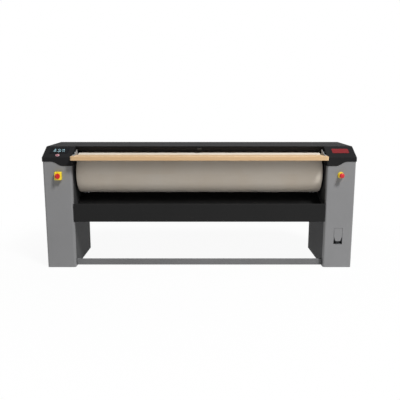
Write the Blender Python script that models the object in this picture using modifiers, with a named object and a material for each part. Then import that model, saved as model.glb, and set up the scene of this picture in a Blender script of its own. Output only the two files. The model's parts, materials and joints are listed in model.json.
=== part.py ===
"""A rotary ironer: a padded roller turns between two columns, and a heated chest presses on it.

Metres, +Z up. X runs along the roller, the front faces -Y, and the origin is on the floor under the
middle of the machine. Setbacks are measured rearwards from the front plane of the two columns.
"""
import math

import bmesh
import bpy
from mathutils import Matrix, Vector

# Whole machine
COLUMN_WIDTH = 0.237
COLUMN_DEPTH = 0.612
FLOOR_GAP = 0.0015
BOARD_REACH = 0.072
REAR_REACH = 0.026

# Shop values used everywhere
SHEET = 0.0015
SEAT_GAP = 0.0003
RUNNING_GAP = 0.0005
OVERRUN = 0.004
MERGE = 0.00001
FINE_STEPS = 48
ROUND_STEPS = 24
SMALL_STEPS = 16
FOOT_STEPS = 12
DOME_STEPS = 5
BEND_STEPS = 3
SMOOTH_ANGLE = math.radians(35)

# Column panels
WALL_PLATE = 0.003
COLUMN_BEND = 0.015
PANEL_RETURN = 0.035
PANEL_TUCK = 0.011
VENT_WIDTH = 0.120
VENT_HEIGHT = 0.006
VENT_PITCH = 0.018
VENT_ROWS = 7
VENT_TOP_OFFSET = 0.120

# Column frames
RAIL = 0.030
RAIL_BOTTOM = 0.012
RAIL_LAP = 0.004
RAIL_STEP = 0.001
FRAME_DROP = 0.046

# Levelling feet
FOOT_RADIUS = 0.022
FOOT_HEIGHT = 0.0075
FOOT_STEM_RADIUS = 0.006

# End covers
COVER_PROUD = 0.003
COVER_WALL = 0.0018
COVER_ROUND = 0.005
COVER_HEADROOM = 0.0065
CREASE_DROP = 0.0019
RIDGE_DROP = 0.0805
CREASE_SETBACK = 0.150
OGEE_INNER_DROP = 0.071
OGEE_OUTER_DROP = 0.035
OGEE_START = 0.069
OGEE_END = 0.1655
OGEE_STEPS = 10

# Hood and rear cover
HOOD_SHEET = 0.002
HOOD_SEAM = 0.0006
HOOD_ROOM = 0.0515
HOOD_LIP_DROP = 0.0426
HOOD_LIP_DEPTH = 0.012
HOOD_LEAN = 0.045
HOOD_BEND = 0.004
HOOD_REAR_DROP = 0.0915
SENSOR_WIDTH = 0.040
SENSOR_HEIGHT = 0.030
SENSOR_DEPTH = 0.007
SENSOR_ROUND = 0.0015
REAR_COVER_BOTTOM = 0.397
REAR_COVER_GAP = 0.002
BEAM_HEIGHT = 0.050
BEAM_DEPTH = 0.040
MIDDLE_VENT_SHARES = (-0.75, -0.25, 0.25, 0.75)

# Linen tray, slide and base bar
TRAY_DROP = 0.239
TRAY_FRONT_HEIGHT = 0.1525
TRAY_LIP = 0.016
TRAY_LIP_DROP = 0.018
TRAY_FOOT = 0.040
TRAY_BEND = 0.004
SLIDE_SHEET = 0.002
SLIDE_FRONT_DROP = 0.335
SLIDE_UPSTAND = 0.030
SLIDE_REAR_DROP = 0.189
SLIDE_REAR_SETBACK = 0.352
SLIDE_DROP = 0.040
SLIDE_BEND = 0.020
BASE_SETBACK = 0.053
BASE_BOTTOM = 0.0065
BASE_HEIGHT = 0.053
BASE_DEPTH = 0.012
BASE_SHEET = 0.002
BASE_BEND = 0.004

# Roller
ROLLER_SETBACK = 0.250
ROLLER_HEIGHT = 0.787
ROLLER_RADIUS = 0.178
ROLLER_LENGTH = 2.066
ROLLER_END_GAP = 0.015
PADDING = 0.0127
PADDING_ROUND = 0.009
TUBE_WALL = 0.004
TUBE_INSET = 0.006
DISC_THICKNESS = 0.010
DISC_INSET = 0.008
HUB_RADIUS = 0.045
HUB_LENGTH = 0.006
JOURNAL_RADIUS = 0.025
SHAFT_HOLE_RADIUS = 0.034
BEARING_FLANGE_RADIUS = 0.055
BEARING_FLANGE = 0.010
BEARING_BOSS_RADIUS = 0.040
BEARING_BOSS = 0.022
JOURNAL_SPARE = 0.008

# Roller drive
MODULE = 0.004
GEAR_TEETH = 60
PINION_TEETH = 15
PRESSURE_ANGLE = math.radians(20)
ADDENDUM_SHARE = 0.9
DEDENDUM_SHARE = 1.2
BACKLASH = 0.0006
GEAR_WIDTH = 0.020
GEAR_OFFSET = 0.014
GEAR_HOLES = 5
GEAR_HOLE_RADIUS = 0.024
GEAR_HOLE_CIRCLE = 0.072
PINION_OVERLAP = 0.002
PINION_SHAFT_RADIUS = 0.0125
BRACKET_PLATE = 0.005
BRACKET_MARGIN = 0.030
BRACKET_HEIGHT = 0.140
GEARBOX_WIDTH = 0.086
GEARBOX_DEPTH = 0.118
GEARBOX_HEIGHT = 0.112
GEARBOX_SHIFT = 0.016
GEARBOX_ROUND = 0.010
MOTOR_OFFSET = 0.032
MOTOR_RADIUS = 0.052
MOTOR_FIN = 0.008
MOTOR_FINS = 20
MOTOR_LENGTH = 0.150
MOTOR_NECK_RADIUS = 0.040
MOTOR_NECK = 0.018
COWL_LENGTH = 0.050
COWL_ROUND = 0.012
TERMINAL_WIDTH = 0.044
TERMINAL_DEPTH = 0.040
TERMINAL_HEIGHT = 0.070

# Heated chest
PRESSED_GAP = 0.0015
CHEST_THICKNESS = 0.010
CHEST_TOP_ANGLE = math.radians(68)
CHEST_BOTTOM_ANGLE = math.radians(-48)
CHEST_STEPS = 20
CHEST_LIP = 0.022
CHEST_LIP_ANGLE = math.radians(40)
CHEST_OPENING = math.radians(3.6)
PIVOT_SETBACK = 0.420
PIVOT_DROP = 0.287
ELEMENT_RADIUS = 0.0045
ELEMENT_RUNS = 6
ELEMENT_INSET = 0.020
ELEMENT_BEND_STEPS = 6
RIB_COUNT = 5
RIB_THICKNESS = 0.006
RIB_DEPTH = 0.036
RIB_REACH_SHARE = 0.94
RIB_INSET = 0.120
RIB_BAR = 0.024
CHEST_COVER_GAP = 0.006
CHEST_COVER_REACH_SHARE = 0.97
ARM_THICKNESS = 0.008
ARM_HUB_RADIUS = 0.038
ARM_DEPTH = 0.030
ARM_REACH_SHARE = 0.62
SHAFT_RADIUS = 0.024
SHAFT_WALL = 0.004
SHAFT_SPARE = 0.012
BUSH_WALL = 0.006
BUSH_FLANGE = 0.010
BUSH_FLANGE_THICKNESS = 0.003
BUSH_LENGTH = 0.014

# Chest actuator
LEVER_OFFSET = 0.054
LEVER_THICKNESS = 0.012
LEVER_LENGTH = 0.100
LEVER_HUB_RADIUS = 0.038
LEVER_END_RADIUS = 0.016
LEVER_PIN_RADIUS = 0.006
FORK_WALL = 0.008
FORK_DEPTH = 0.030
FORK_HEIGHT = 0.056
FORK_SLOT_DEPTH = 0.040
FORK_PLAY = 0.0008
ACTUATOR_ROD_RADIUS = 0.010
ACTUATOR_RADIUS = 0.027
ACTUATOR_TOP = 0.360
ROD_DEPTH = 0.120
ACTUATOR_MOTOR_RADIUS = 0.024
ACTUATOR_MOTOR_LENGTH = 0.110
ACTUATOR_HEAD_HEIGHT = 0.040
ACTUATOR_PLATE = 0.008
ACTUATOR_PLATE_DEPTH = 0.110

# Finger guard board
BOARD_DROP = 0.0675
BOARD_THICKNESS = 0.0325
BOARD_DEPTH = 0.162
BOARD_SIDE_GAP = 0.0015
BOARD_CORNER = 0.017
BOARD_EDGE = 0.004
GUARD_SETBACK = 0.107
GUARD_RISE = 0.017
GUARD_APEX_RISE = 0.041
GUARD_APEX_RADIUS = 0.008
GUARD_PLATE = 0.004
GUARD_PLATE_GAP = 0.018
GUARD_FRONT = 0.127
GUARD_REAR = 0.018
GUARD_FOOT_WIDTH = 0.016
GUARD_FOOT_THICKNESS = 0.003
GUARD_FOOT_FRONT = 0.100
GUARD_FOOT_REAR = 0.022
GUARD_PIN_RADIUS = 0.005
GUARD_PIN_HEAD_RADIUS = 0.009
GUARD_PIN_HEAD = 0.0025
GUARD_PIN_TAIL = 0.004

# Main switch
SWITCH_CENTRE = 0.108
SWITCH_DROP = 0.150
SWITCH_BOX_WIDTH = 0.0565
SWITCH_BOX_HEIGHT = 0.068
SWITCH_BOX_DEPTH = 0.038
SWITCH_BOX_ROUND = 0.005
KNOB_RADIUS = 0.0215
KNOB_BASE = 0.007
KNOB_GRIP_WIDTH = 0.012
KNOB_GRIP_HEIGHT = 0.013
KNOB_GRIP_OVERLAP = 0.002

# Emergency stop
STOP_CENTRE = 0.113
STOP_DROP = 0.146
STOP_COLLAR_RADIUS = 0.0265
STOP_COLLAR_TAPER = 0.005
STOP_COLLAR_HEIGHT = 0.022
STOP_BARREL_RADIUS = 0.014
STOP_STEM_RADIUS = 0.010
STOP_STEM_INSIDE = 0.032
STOP_STEM_OUTSIDE = 0.042
STOP_HEAD_RADIUS = 0.0205
STOP_HEAD_HEIGHT = 0.026
STOP_HEAD_SKIRT = 0.007
STOP_HEAD_DOME = 0.010
STOP_HEAD_SOCKET = 0.012
STOP_TRAVEL = 0.005
STOP_BARREL_REACH = 0.022
CONTACTS_WIDTH = 0.030
CONTACTS_DEPTH = 0.044
CONTACTS_HEIGHT = 0.046

# Control panel on the left cover's slope, measured up the slope from its ridge
DISPLAY_WIDTH = 0.154
DISPLAY_HEIGHT = 0.086
DISPLAY_CENTRE = 0.117
DISPLAY_RISE = 0.104
DISPLAY_ROUND = 0.008
DISPLAY_THICKNESS = 0.0022
WINDOW_BORDER = 0.010
WINDOW_DEPTH = 0.0008
BUTTON_CENTRE = 0.116
BUTTON_RISE = 0.030
BUTTON_RADIUS = 0.0115
BUTTON_RING_RADIUS = 0.0165
BUTTON_RING_HEIGHT = 0.0035
BUTTON_PROUD = 0.0045
BUTTON_DEPTH = 0.012
BADGE_WIDTH = 0.136
BADGE_HEIGHT = 0.066
BADGE_CENTRE = 0.121
BADGE_RISE = 0.096
BADGE_THICKNESS = 0.0015
BADGE_ROUND = 0.010

# Foot pedal
PEDAL_CENTRE = 0.117
PEDAL_TOP = 0.342
PEDAL_WIDTH = 0.072
PEDAL_HEIGHT = 0.139
PEDAL_DEPTH = 0.050
PEDAL_SIDE_GAP = 0.002
PEDAL_PLATE = 0.002
PEDAL_LENGTH = 0.110
PEDAL_STRAIGHT_SHARE = 0.64
PEDAL_TIP_SHARE = 0.58
PEDAL_AXIS_DROP = 0.012
PEDAL_AXIS_SETBACK = 0.0095
KNUCKLE_RADIUS = 0.0065
KNUCKLE_LENGTH = 0.050
PEDAL_PIN_RADIUS = 0.003
PEDAL_SWITCH_SIZE = 0.020
PEDAL_SWITCH_DEPTH = 0.024

# Electrical plate and cable gland
ELECTRIC_BOTTOM = 0.380
ELECTRIC_HEIGHT = 0.300
ELECTRIC_DEPTH = 0.400
ELECTRIC_PLATE = 0.002
CONTACTOR_COUNT = 5
CONTACTOR_WIDTH = 0.045
CONTACTOR_HEIGHT = 0.075
CONTACTOR_DEPTH = 0.060
CONTACTOR_PITCH = 0.056
CONTACTOR_RAIL = 0.008
CONTACTOR_RAIL_HEIGHT = 0.035
GLAND_HEIGHT = 0.120
GLAND_RADIUS = 0.014
GLAND_NUT_RADIUS = 0.018
GLAND_NUT = 0.013
GLAND_BORE_RADIUS = 0.008
GLAND_INSIDE = 0.012

# Places worked out from the sizes above
COLUMN_SPAN = ROLLER_LENGTH + 2 * ROLLER_END_GAP
INNER_X = COLUMN_SPAN / 2
OUTER_X = INNER_X + COLUMN_WIDTH
FRONT_Y = (BOARD_REACH - COLUMN_DEPTH - REAR_REACH) / 2
REAR_Y = FRONT_Y + COLUMN_DEPTH
WALL_X = INNER_X + WALL_PLATE
TOP_HEIGHT = ROLLER_HEIGHT + ROLLER_RADIUS + HOOD_ROOM
CREASE_HEIGHT = TOP_HEIGHT - CREASE_DROP
RIDGE_HEIGHT = TOP_HEIGHT - RIDGE_DROP
OGEE_INNER_HEIGHT = RIDGE_HEIGHT - OGEE_INNER_DROP
OGEE_OUTER_HEIGHT = RIDGE_HEIGHT - OGEE_OUTER_DROP
FRAME_TOP = RIDGE_HEIGHT - FRAME_DROP
HOOD_LIP_HEIGHT = CREASE_HEIGHT - HOOD_LIP_DROP
HOOD_REAR_EDGE = TOP_HEIGHT - HOOD_REAR_DROP
BOARD_TOP = TOP_HEIGHT - BOARD_DROP
GUARD_HEIGHT = BOARD_TOP + GUARD_RISE
SWITCH_HEIGHT = RIDGE_HEIGHT - SWITCH_DROP
STOP_HEIGHT = RIDGE_HEIGHT - STOP_DROP
TRAY_TOP = ROLLER_HEIGHT - TRAY_DROP
TRAY_BOTTOM = TRAY_TOP - TRAY_FRONT_HEIGHT
SLIDE_FRONT_HEIGHT = ROLLER_HEIGHT - SLIDE_FRONT_DROP
SLIDE_REAR_HEIGHT = ROLLER_HEIGHT - SLIDE_REAR_DROP
PIVOT_HEIGHT = ROLLER_HEIGHT - PIVOT_DROP
ROLLER_Y = FRONT_Y + ROLLER_SETBACK
PIVOT_Y = FRONT_Y + PIVOT_SETBACK
PANEL_TOP = RIDGE_HEIGHT - PANEL_TUCK
COVER_FRONT = FRONT_Y - COVER_PROUD
COVER_REAR = REAR_Y + COVER_PROUD
CREASE_Y = FRONT_Y + CREASE_SETBACK
SLOPE = math.atan2(CREASE_HEIGHT - RIDGE_HEIGHT, CREASE_Y - COVER_FRONT)
BEAM_REAR = REAR_Y - SHEET - SEAT_GAP
CHEST_RADIUS = ROLLER_RADIUS + PRESSED_GAP
CHEST_BACK = CHEST_RADIUS + CHEST_THICKNESS
GEAR_X = WALL_X + SEAT_GAP + BEARING_BOSS + GEAR_OFFSET
CENTRE_DISTANCE = MODULE * (GEAR_TEETH + PINION_TEETH) / 2
PINION_HEIGHT = ROLLER_HEIGHT - CENTRE_DISTANCE
BRACKET_X = GEAR_X + GEAR_WIDTH + GEAR_OFFSET

# Colours, roughness and metallic value of each material
FINISHES = {
    "grey_paint": ((0.224, 0.224, 0.224), 0.55, 0.0),
    "black_paint": ((0.024, 0.024, 0.025), 0.42, 0.0),
    "tray_black": ((0.022, 0.022, 0.022), 0.60, 0.0),
    "frame_paint": ((0.110, 0.115, 0.120), 0.60, 0.0),
    "zinc_steel": ((0.560, 0.570, 0.580), 0.38, 1.0),
    "polished_steel": ((0.680, 0.680, 0.690), 0.15, 1.0),
    "cast_iron": ((0.120, 0.125, 0.130), 0.70, 0.6),
    "motor_grey": ((0.190, 0.200, 0.220), 0.50, 0.2),
    "padding_cloth": ((0.740, 0.670, 0.560), 0.92, 0.0),
    "beech": ((0.760, 0.540, 0.320), 0.50, 0.0),
    "bracket_paint": ((0.420, 0.420, 0.420), 0.50, 0.0),
    "yellow_plastic": ((0.880, 0.620, 0.020), 0.40, 0.0),
    "red_plastic": ((0.620, 0.020, 0.030), 0.35, 0.0),
    "red_badge": ((0.420, 0.012, 0.020), 0.35, 0.0),
    "black_plastic": ((0.020, 0.020, 0.022), 0.45, 0.0),
    "dark_glass": ((0.008, 0.010, 0.014), 0.08, 0.0),
    "pale_plastic": ((0.620, 0.520, 0.540), 0.35, 0.0),
    "brass": ((0.680, 0.480, 0.180), 0.30, 1.0),
}

# A shape is drawn in (u, v) and runs along w; these turn that into X, Y and Z
ALONG = {
    "X": Matrix(((0, 0, 1), (1, 0, 0), (0, 1, 0))).to_4x4(),
    "Y": Matrix(((1, 0, 0), (0, 0, 1), (0, 1, 0))).to_4x4(),
    "Z": Matrix.Identity(4),
}
TURN = {
    "X": (0, math.pi / 2, 0),
    "Y": (-math.pi / 2, 0, 0),
    "Z": (0, 0, 0),
}


def empty_scene():
    """Remove what the file holds, and make the collections for the parts and for the cutters."""
    for thing in list(bpy.data.objects):
        bpy.data.objects.remove(thing)
    made = []
    for name in ("rotary_ironer", "cutters"):
        collection = bpy.data.collections.new(name)
        bpy.context.scene.collection.children.link(collection)
        made.append(collection)
    return made


PARTS, CUTTERS = empty_scene()


def finish(name):
    """The material with this name, made the first time it is asked for."""
    if name not in bpy.data.materials:
        colour, roughness, metallic = FINISHES[name]
        material = bpy.data.materials.new(name)
        material.use_nodes = True
        shader = material.node_tree.nodes["Principled BSDF"]
        shader.inputs["Base Color"].default_value = (*colour, 1)
        shader.inputs["Roughness"].default_value = roughness
        shader.inputs["Metallic"].default_value = metallic
        material.diffuse_color = (*colour, 1)
    return bpy.data.materials[name]


def place(name, mesh, material, parent=None, at=(0, 0, 0), turn=(0, 0, 0)):
    """Put a mesh into the scene as one part, or as a cutter when it has no material."""
    thing = bpy.data.objects.new(name, mesh)
    thing.location = at
    thing.rotation_euler = turn
    thing.parent = parent
    if material is None:
        CUTTERS.objects.link(thing)
        thing.hide_render = True
        thing.display_type = "WIRE"
    else:
        PARTS.objects.link(thing)
        mesh.materials.clear()
        mesh.materials.append(finish(material))
    mesh.shade_smooth()
    mesh.set_sharp_from_angle(angle=SMOOTH_ANGLE)
    return thing


def axis_empty(name, at, turn=(0, 0, 0)):
    """An empty on a joint's axis, which the pieces that move there hang on."""
    empty = bpy.data.objects.new(name, None)
    empty.location = at
    empty.rotation_euler = turn
    PARTS.objects.link(empty)
    return empty


def block(name, x, y, z, material, **placing):
    """A box between two values on each axis, with its origin at its middle."""
    low = Vector((min(x), min(y), min(z)))
    high = Vector((max(x), max(y), max(z)))
    mesh = bpy.data.meshes.new(name)
    model = bmesh.new()
    bmesh.ops.create_cube(model, size=1)
    bmesh.ops.scale(model, vec=high - low, verts=model.verts)
    model.to_mesh(mesh)
    model.free()
    return place(name, mesh, material, at=(low + high) / 2, **placing)


def folded_sheet(name, path, span, axis, thickness, material, grow=1, **placing):
    """A sheet bent along a path and run along an axis, thickened to the chosen side."""
    mesh = bpy.data.meshes.new(name)
    model = bmesh.new()
    row = [model.verts.new((u, v, span[0])) for u, v in path]
    edges = [model.edges.new(pair) for pair in zip(row, row[1:])]
    swept = bmesh.ops.extrude_edge_only(model, edges=edges)["geom"]
    moved = [part for part in swept if isinstance(part, bmesh.types.BMVert)]
    bmesh.ops.translate(model, vec=(0, 0, span[1] - span[0]), verts=moved)
    model.transform(ALONG[axis])
    model.to_mesh(mesh)
    model.free()
    sheet = place(name, mesh, material, **placing)
    wall = sheet.modifiers.new("wall", "SOLIDIFY")
    wall.thickness = thickness
    wall.offset = grow
    wall.use_even_offset = True
    return sheet


def plate(name, outline, span, axis, material, holes=(), **placing):
    """A flat plate with holes, from a filled 2D curve."""
    curve = bpy.data.curves.new(name, "CURVE")
    curve.dimensions = "2D"
    curve.fill_mode = "BOTH"
    curve.extrude = (span[1] - span[0]) / 2
    for points in (outline, *holes):
        spline = curve.splines.new("POLY")
        spline.points.add(len(points) - 1)
        for point, (u, v) in zip(spline.points, points):
            point.co = (u, v, 0, 1)
        spline.use_cyclic_u = True
    drawing = bpy.data.objects.new(name + "_drawing", curve)
    CUTTERS.objects.link(drawing)
    scene_graph = bpy.context.evaluated_depsgraph_get()
    mesh = bpy.data.meshes.new_from_object(drawing.evaluated_get(scene_graph))
    bpy.data.objects.remove(drawing)
    mesh.name = name
    model = bmesh.new()
    model.from_mesh(mesh)
    bmesh.ops.remove_doubles(model, verts=model.verts, dist=MERGE)
    model.transform(ALONG[axis] @ Matrix.Translation((0, 0, (span[0] + span[1]) / 2)))
    model.normal_update()
    bmesh.ops.recalc_face_normals(model, faces=model.faces)
    model.to_mesh(mesh)
    model.free()
    return place(name, mesh, material, **placing)


def turned(name, profile, axis, material, steps=ROUND_STEPS, **placing):
    """A solid of revolution; the (radius, along) profile runs from the far end to the near end."""
    mesh = bpy.data.meshes.new(name)
    model = bmesh.new()
    points = [model.verts.new((radius, 0, along)) for radius, along in profile]
    for pair in zip(points, points[1:]):
        model.edges.new(pair)
    if profile[0][0] > 0:
        model.edges.new((points[-1], points[0]))
    model.to_mesh(mesh)
    model.free()
    solid = place(name, mesh, material, turn=TURN[axis], **placing)
    screw = solid.modifiers.new("turn", "SCREW")
    screw.steps = steps
    screw.render_steps = steps
    screw.use_merge_vertices = True
    screw.merge_threshold = MERGE
    return solid


def cylinder(radius, start, end):
    """The profile of a plain cylinder between two places along its axis."""
    near, far = sorted((start, end))
    return [(0, far), (radius, far), (radius, near), (0, near)]


def ring(outer, inner, start, end):
    """The profile of a tube between two places along its axis."""
    near, far = sorted((start, end))
    return [(outer, far), (outer, near), (inner, near), (inner, far)]


def facing(side, profile):
    """The same profile, mirrored for a piece on the other side of the machine."""
    if side > 0:
        return profile
    return [(radius, -along) for radius, along in reversed(profile)]


def bevel(thing, width, segments=2):
    """Round the sharp edges of a solid."""
    rounding = thing.modifiers.new("round", "BEVEL")
    rounding.width = width
    rounding.segments = segments
    rounding.limit_method = "ANGLE"
    rounding.angle_limit = math.radians(20)
    return thing


def combine(thing, other, operation, solver="EXACT"):
    """Cut another solid out of this one, or weld it on."""
    boolean = thing.modifiers.new(operation.lower(), "BOOLEAN")
    boolean.operation = operation
    boolean.solver = solver
    boolean.object = other
    return thing


def cut(thing, cutter):
    """Cut a cutter out of a solid."""
    return combine(thing, cutter, "DIFFERENCE")


def weld(thing, other, solver="EXACT"):
    """Weld a second shape onto a solid."""
    return combine(thing, other, "UNION", solver)


def circle(centre, radius, steps, start=0.0):
    """Points of a circle, anticlockwise."""
    turns = [start + 2 * math.pi * step / steps for step in range(steps)]
    return [(centre[0] + radius * math.cos(a), centre[1] + radius * math.sin(a)) for a in turns]


def arc(centre, radius, start, end, steps):
    """Points of an arc, both ends included."""
    turns = [start + (end - start) * step / steps for step in range(steps + 1)]
    return [(centre[0] + radius * math.cos(a), centre[1] + radius * math.sin(a)) for a in turns]


def corner_arc(before, corner, after, radius, steps):
    """The arc that rounds one corner of a path."""
    corner = Vector(corner)
    back = (Vector(before) - corner).normalized()
    onward = (Vector(after) - corner).normalized()
    half = back.angle(onward) / 2
    centre = corner + (back + onward).normalized() * radius / math.sin(half)
    spoke = corner + back * radius / math.tan(half) - centre
    turn = math.pi - 2 * half
    if back.cross(onward) > 0:
        turn = -turn
    return [centre + Matrix.Rotation(turn * step / steps, 2) @ spoke for step in range(steps + 1)]


def rounded_path(points, radius, steps=BEND_STEPS):
    """An open path whose inner corners are arcs."""
    path = [Vector(points[0])]
    for before, corner, after in zip(points, points[1:], points[2:]):
        path += corner_arc(before, corner, after, radius, steps)
    return path + [Vector(points[-1])]


def rounded_loop(points, radius, steps=BEND_STEPS):
    """A closed outline whose corners are arcs."""
    loop = []
    for index, corner in enumerate(points):
        after = points[(index + 1) % len(points)]
        loop += corner_arc(points[index - 1], corner, after, radius, steps)
    return loop


def rectangle(u, v):
    """The corners of a rectangle, anticlockwise."""
    return [(min(u), min(v)), (max(u), min(v)), (max(u), max(v)), (min(u), max(v))]


def around(middle, size):
    """The two ends of a stretch of this size around its middle."""
    return middle - size / 2, middle + size / 2


def cover_height(setback):
    """Height of the covers' outer surface at a setback."""
    rise = CREASE_HEIGHT - RIDGE_HEIGHT
    share = (setback + COVER_PROUD) / (CREASE_SETBACK + COVER_PROUD)
    return RIDGE_HEIGHT + rise * min(share, 1)


def name_of(side):
    """The word for a side of the machine."""
    return "right" if side > 0 else "left"


def front_panel(side):
    """The column's front: one sheet with rounded vertical edges and two short returns."""
    low, high = sorted((side * INNER_X, side * OUTER_X))
    back = FRONT_Y + PANEL_RETURN
    path = rounded_path([(low, back), (low, FRONT_Y), (high, FRONT_Y), (high, back)], COLUMN_BEND)
    return folded_sheet(f"{name_of(side)}_front_panel", path, (FLOOR_GAP, PANEL_TOP), "Z", SHEET,
                        "grey_paint")


def side_panel(side):
    """The flat outer side of a column."""
    x = (side * (OUTER_X - SHEET), side * OUTER_X)
    y = (FRONT_Y + PANEL_RETURN + SEAT_GAP, REAR_Y)
    block(f"{name_of(side)}_side_panel", x, y, (FLOOR_GAP, PANEL_TOP), "grey_paint")


def inner_wall(side):
    """The plate that faces the roller and carries its bearing, with its top under the cover."""
    front = PANEL_RETURN + SEAT_GAP
    crease = CREASE_HEIGHT - COVER_HEADROOM
    outline = [
        (FRONT_Y + front, FLOOR_GAP),
        (REAR_Y, FLOOR_GAP),
        (REAR_Y, crease),
        (CREASE_Y, crease),
        (FRONT_Y + front, cover_height(front) - COVER_HEADROOM),
    ]
    holes = [
        circle((ROLLER_Y, ROLLER_HEIGHT), SHAFT_HOLE_RADIUS, ROUND_STEPS),
        circle((PIVOT_Y, PIVOT_HEIGHT), SHAFT_RADIUS + BUSH_WALL + SEAT_GAP, ROUND_STEPS),
        circle((FRONT_Y + GUARD_SETBACK, GUARD_HEIGHT), GUARD_PIN_RADIUS + RUNNING_GAP, SMALL_STEPS),
    ]
    span = sorted((side * INNER_X, side * WALL_X))
    plate(f"{name_of(side)}_inner_wall", outline, span, "X", "grey_paint", holes)


def vent_slots(middle, top):
    """A ladder of vent slots, one below the other."""
    slots = []
    for row in range(VENT_ROWS):
        height = top - VENT_TOP_OFFSET - row * VENT_PITCH
        slots.append(rectangle(around(middle, VENT_WIDTH), around(height, VENT_HEIGHT)))
    return slots


def column_rear_panel(side):
    """The column's rear panel, between the inner wall and the side panel, with vents."""
    x = sorted((side * (WALL_X + SEAT_GAP), side * (OUTER_X - SHEET - SEAT_GAP)))
    holes = vent_slots(sum(x) / 2, PANEL_TOP)
    if side < 0:
        holes.append(circle((sum(x) / 2, GLAND_HEIGHT), GLAND_RADIUS + SEAT_GAP, SMALL_STEPS))
    outline = rectangle(x, (FLOOR_GAP, PANEL_TOP))
    plate(f"{name_of(side)}_rear_panel", outline, (REAR_Y - SHEET, REAR_Y), "Y", "grey_paint", holes)


def column_frame(side):
    """The welded frame that the panels close, with a levelling foot under each corner."""
    near = WALL_X + SEAT_GAP
    far = OUTER_X - SHEET - SEAT_GAP
    front = FRONT_Y + PANEL_RETURN + SEAT_GAP
    face = FRONT_Y + SHEET + SEAT_GAP
    rear = BEAM_REAR
    cross = (INNER_X + COLUMN_BEND + SEAT_GAP, OUTER_X - COLUMN_BEND - SEAT_GAP)
    y_ends = (front + RAIL / 2, rear - RAIL / 2)
    x_ends = (near + RAIL / 2, far - RAIL / 2)
    bars = []
    for x in ((near, near + RAIL), (far - RAIL, far)):
        for y in ((front, front + RAIL), (rear - RAIL, rear)):
            bars.append((x, y, (RAIL_BOTTOM, FRAME_TOP)))
    for low in (RAIL_BOTTOM, FRAME_TOP - RAIL):
        side_z = slimmer(low, RAIL_STEP)
        cross_z = slimmer(low, 2 * RAIL_STEP)
        for x in (near, far - RAIL):
            bars.append((slimmer(x, RAIL_STEP), y_ends, side_z))
        bars.append((x_ends, slimmer(rear - RAIL, 2 * RAIL_STEP), cross_z))
        bars.append((cross, (face, y_ends[0]), cross_z))
    frame = None
    label = f"{name_of(side)}_frame"
    for index, (x, y, z) in enumerate(bars):
        x = (side * x[0], side * x[1])
        if frame is None:
            frame = block(label, x, y, z, "frame_paint")
        else:
            weld(frame, block(f"{label}_bar_{index}", x, y, z, None), "MANIFOLD")
    for x in (near + FOOT_RADIUS, far - FOOT_RADIUS):
        for y in (front + FOOT_RADIUS, rear - FOOT_RADIUS):
            foot = turned(f"{label}_foot", foot_profile(), "Z", None, FOOT_STEPS, at=(side * x, y, 0))
            weld(frame, foot, "MANIFOLD")


def end_cover(side):
    """The black cover of a column: a shell with a sloped panel and an S-shaped lower edge."""
    word = name_of(side)
    x = sorted((side * (INNER_X - COVER_PROUD), side * (OUTER_X + COVER_PROUD)))
    outline = [
        (COVER_FRONT, OGEE_INNER_HEIGHT),
        (COVER_REAR, OGEE_INNER_HEIGHT),
        (COVER_REAR, TOP_HEIGHT),
        (CREASE_Y, CREASE_HEIGHT),
        (COVER_FRONT, RIDGE_HEIGHT),
    ]
    shell = plate(f"{word}_end_cover", outline, x, "X", "black_paint")
    model = bmesh.new()
    model.from_mesh(shell.data)
    open_side = [face for face in model.faces if face.normal.z < -0.9]
    bmesh.ops.delete(model, geom=open_side, context="FACES_ONLY")
    bmesh.ops.dissolve_limit(model, angle_limit=SMOOTH_ANGLE / 2, verts=model.verts, edges=model.edges)
    model.to_mesh(shell.data)
    model.free()
    bevel(shell, COVER_ROUND)
    wall = shell.modifiers.new("wall", "SOLIDIFY")
    wall.thickness = COVER_WALL
    wall.offset = -1
    wall.use_even_offset = True
    cut(shell, ogee_cutter(side))
    through = cylinder(GUARD_PIN_RADIUS + RUNNING_GAP, INNER_X - COVER_PROUD - OVERRUN, INNER_X)
    cut(shell, turned(f"{word}_cover_pin_hole", facing(side, through), "X", None, SMALL_STEPS,
                      at=(0, FRONT_Y + GUARD_SETBACK, GUARD_HEIGHT)))
    return shell


def ogee_cutter(side):
    """Everything below the S-shaped edge, from front to rear."""
    start = INNER_X + OGEE_START
    end = INNER_X + OGEE_END
    low = OGEE_INNER_HEIGHT
    rise = OGEE_OUTER_HEIGHT - low
    curve = []
    for step in range(OGEE_STEPS + 1):
        share = step / OGEE_STEPS
        ease = (1 - math.cos(math.pi * share)) / 2
        curve.append((side * (start + (end - start) * share), low + rise * ease))
    far = side * (OUTER_X + COVER_PROUD + OVERRUN)
    outline = curve + [(far, low + rise), (far, low - OVERRUN), (side * start, low - OVERRUN)]
    span = (COVER_FRONT - OVERRUN, COVER_REAR + OVERRUN)
    return plate(f"{name_of(side)}_ogee_cutter", outline, span, "Y", None)


def columns():
    """Both columns with their panels, frames and covers."""
    covers = {}
    for side in (-1, 1):
        panel = front_panel(side)
        if side > 0:
            cut(panel, pedal_opening())
            cut(panel, turned("stop_hole", cylinder(STOP_BARREL_RADIUS + SEAT_GAP, -OVERRUN, OVERRUN), "Y",
                              None, at=(INNER_X + STOP_CENTRE, FRONT_Y, STOP_HEIGHT)))
        side_panel(side)
        inner_wall(side)
        column_rear_panel(side)
        column_frame(side)
        covers[side] = end_cover(side)
    return covers


def slimmer(low, step):
    """The stretch of a rail that is slimmer than an upright by a step on each side."""
    return low + step, low + RAIL - step


def foot_profile():
    """A levelling foot: a disc on the floor and a stem up into the rail."""
    return [
        (0, RAIL_BOTTOM + RAIL_LAP),
        (FOOT_STEM_RADIUS, RAIL_BOTTOM + RAIL_LAP),
        (FOOT_STEM_RADIUS, FOOT_HEIGHT),
        (FOOT_RADIUS, FOOT_HEIGHT),
        (FOOT_RADIUS, 0),
        (0, 0),
    ]


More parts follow.
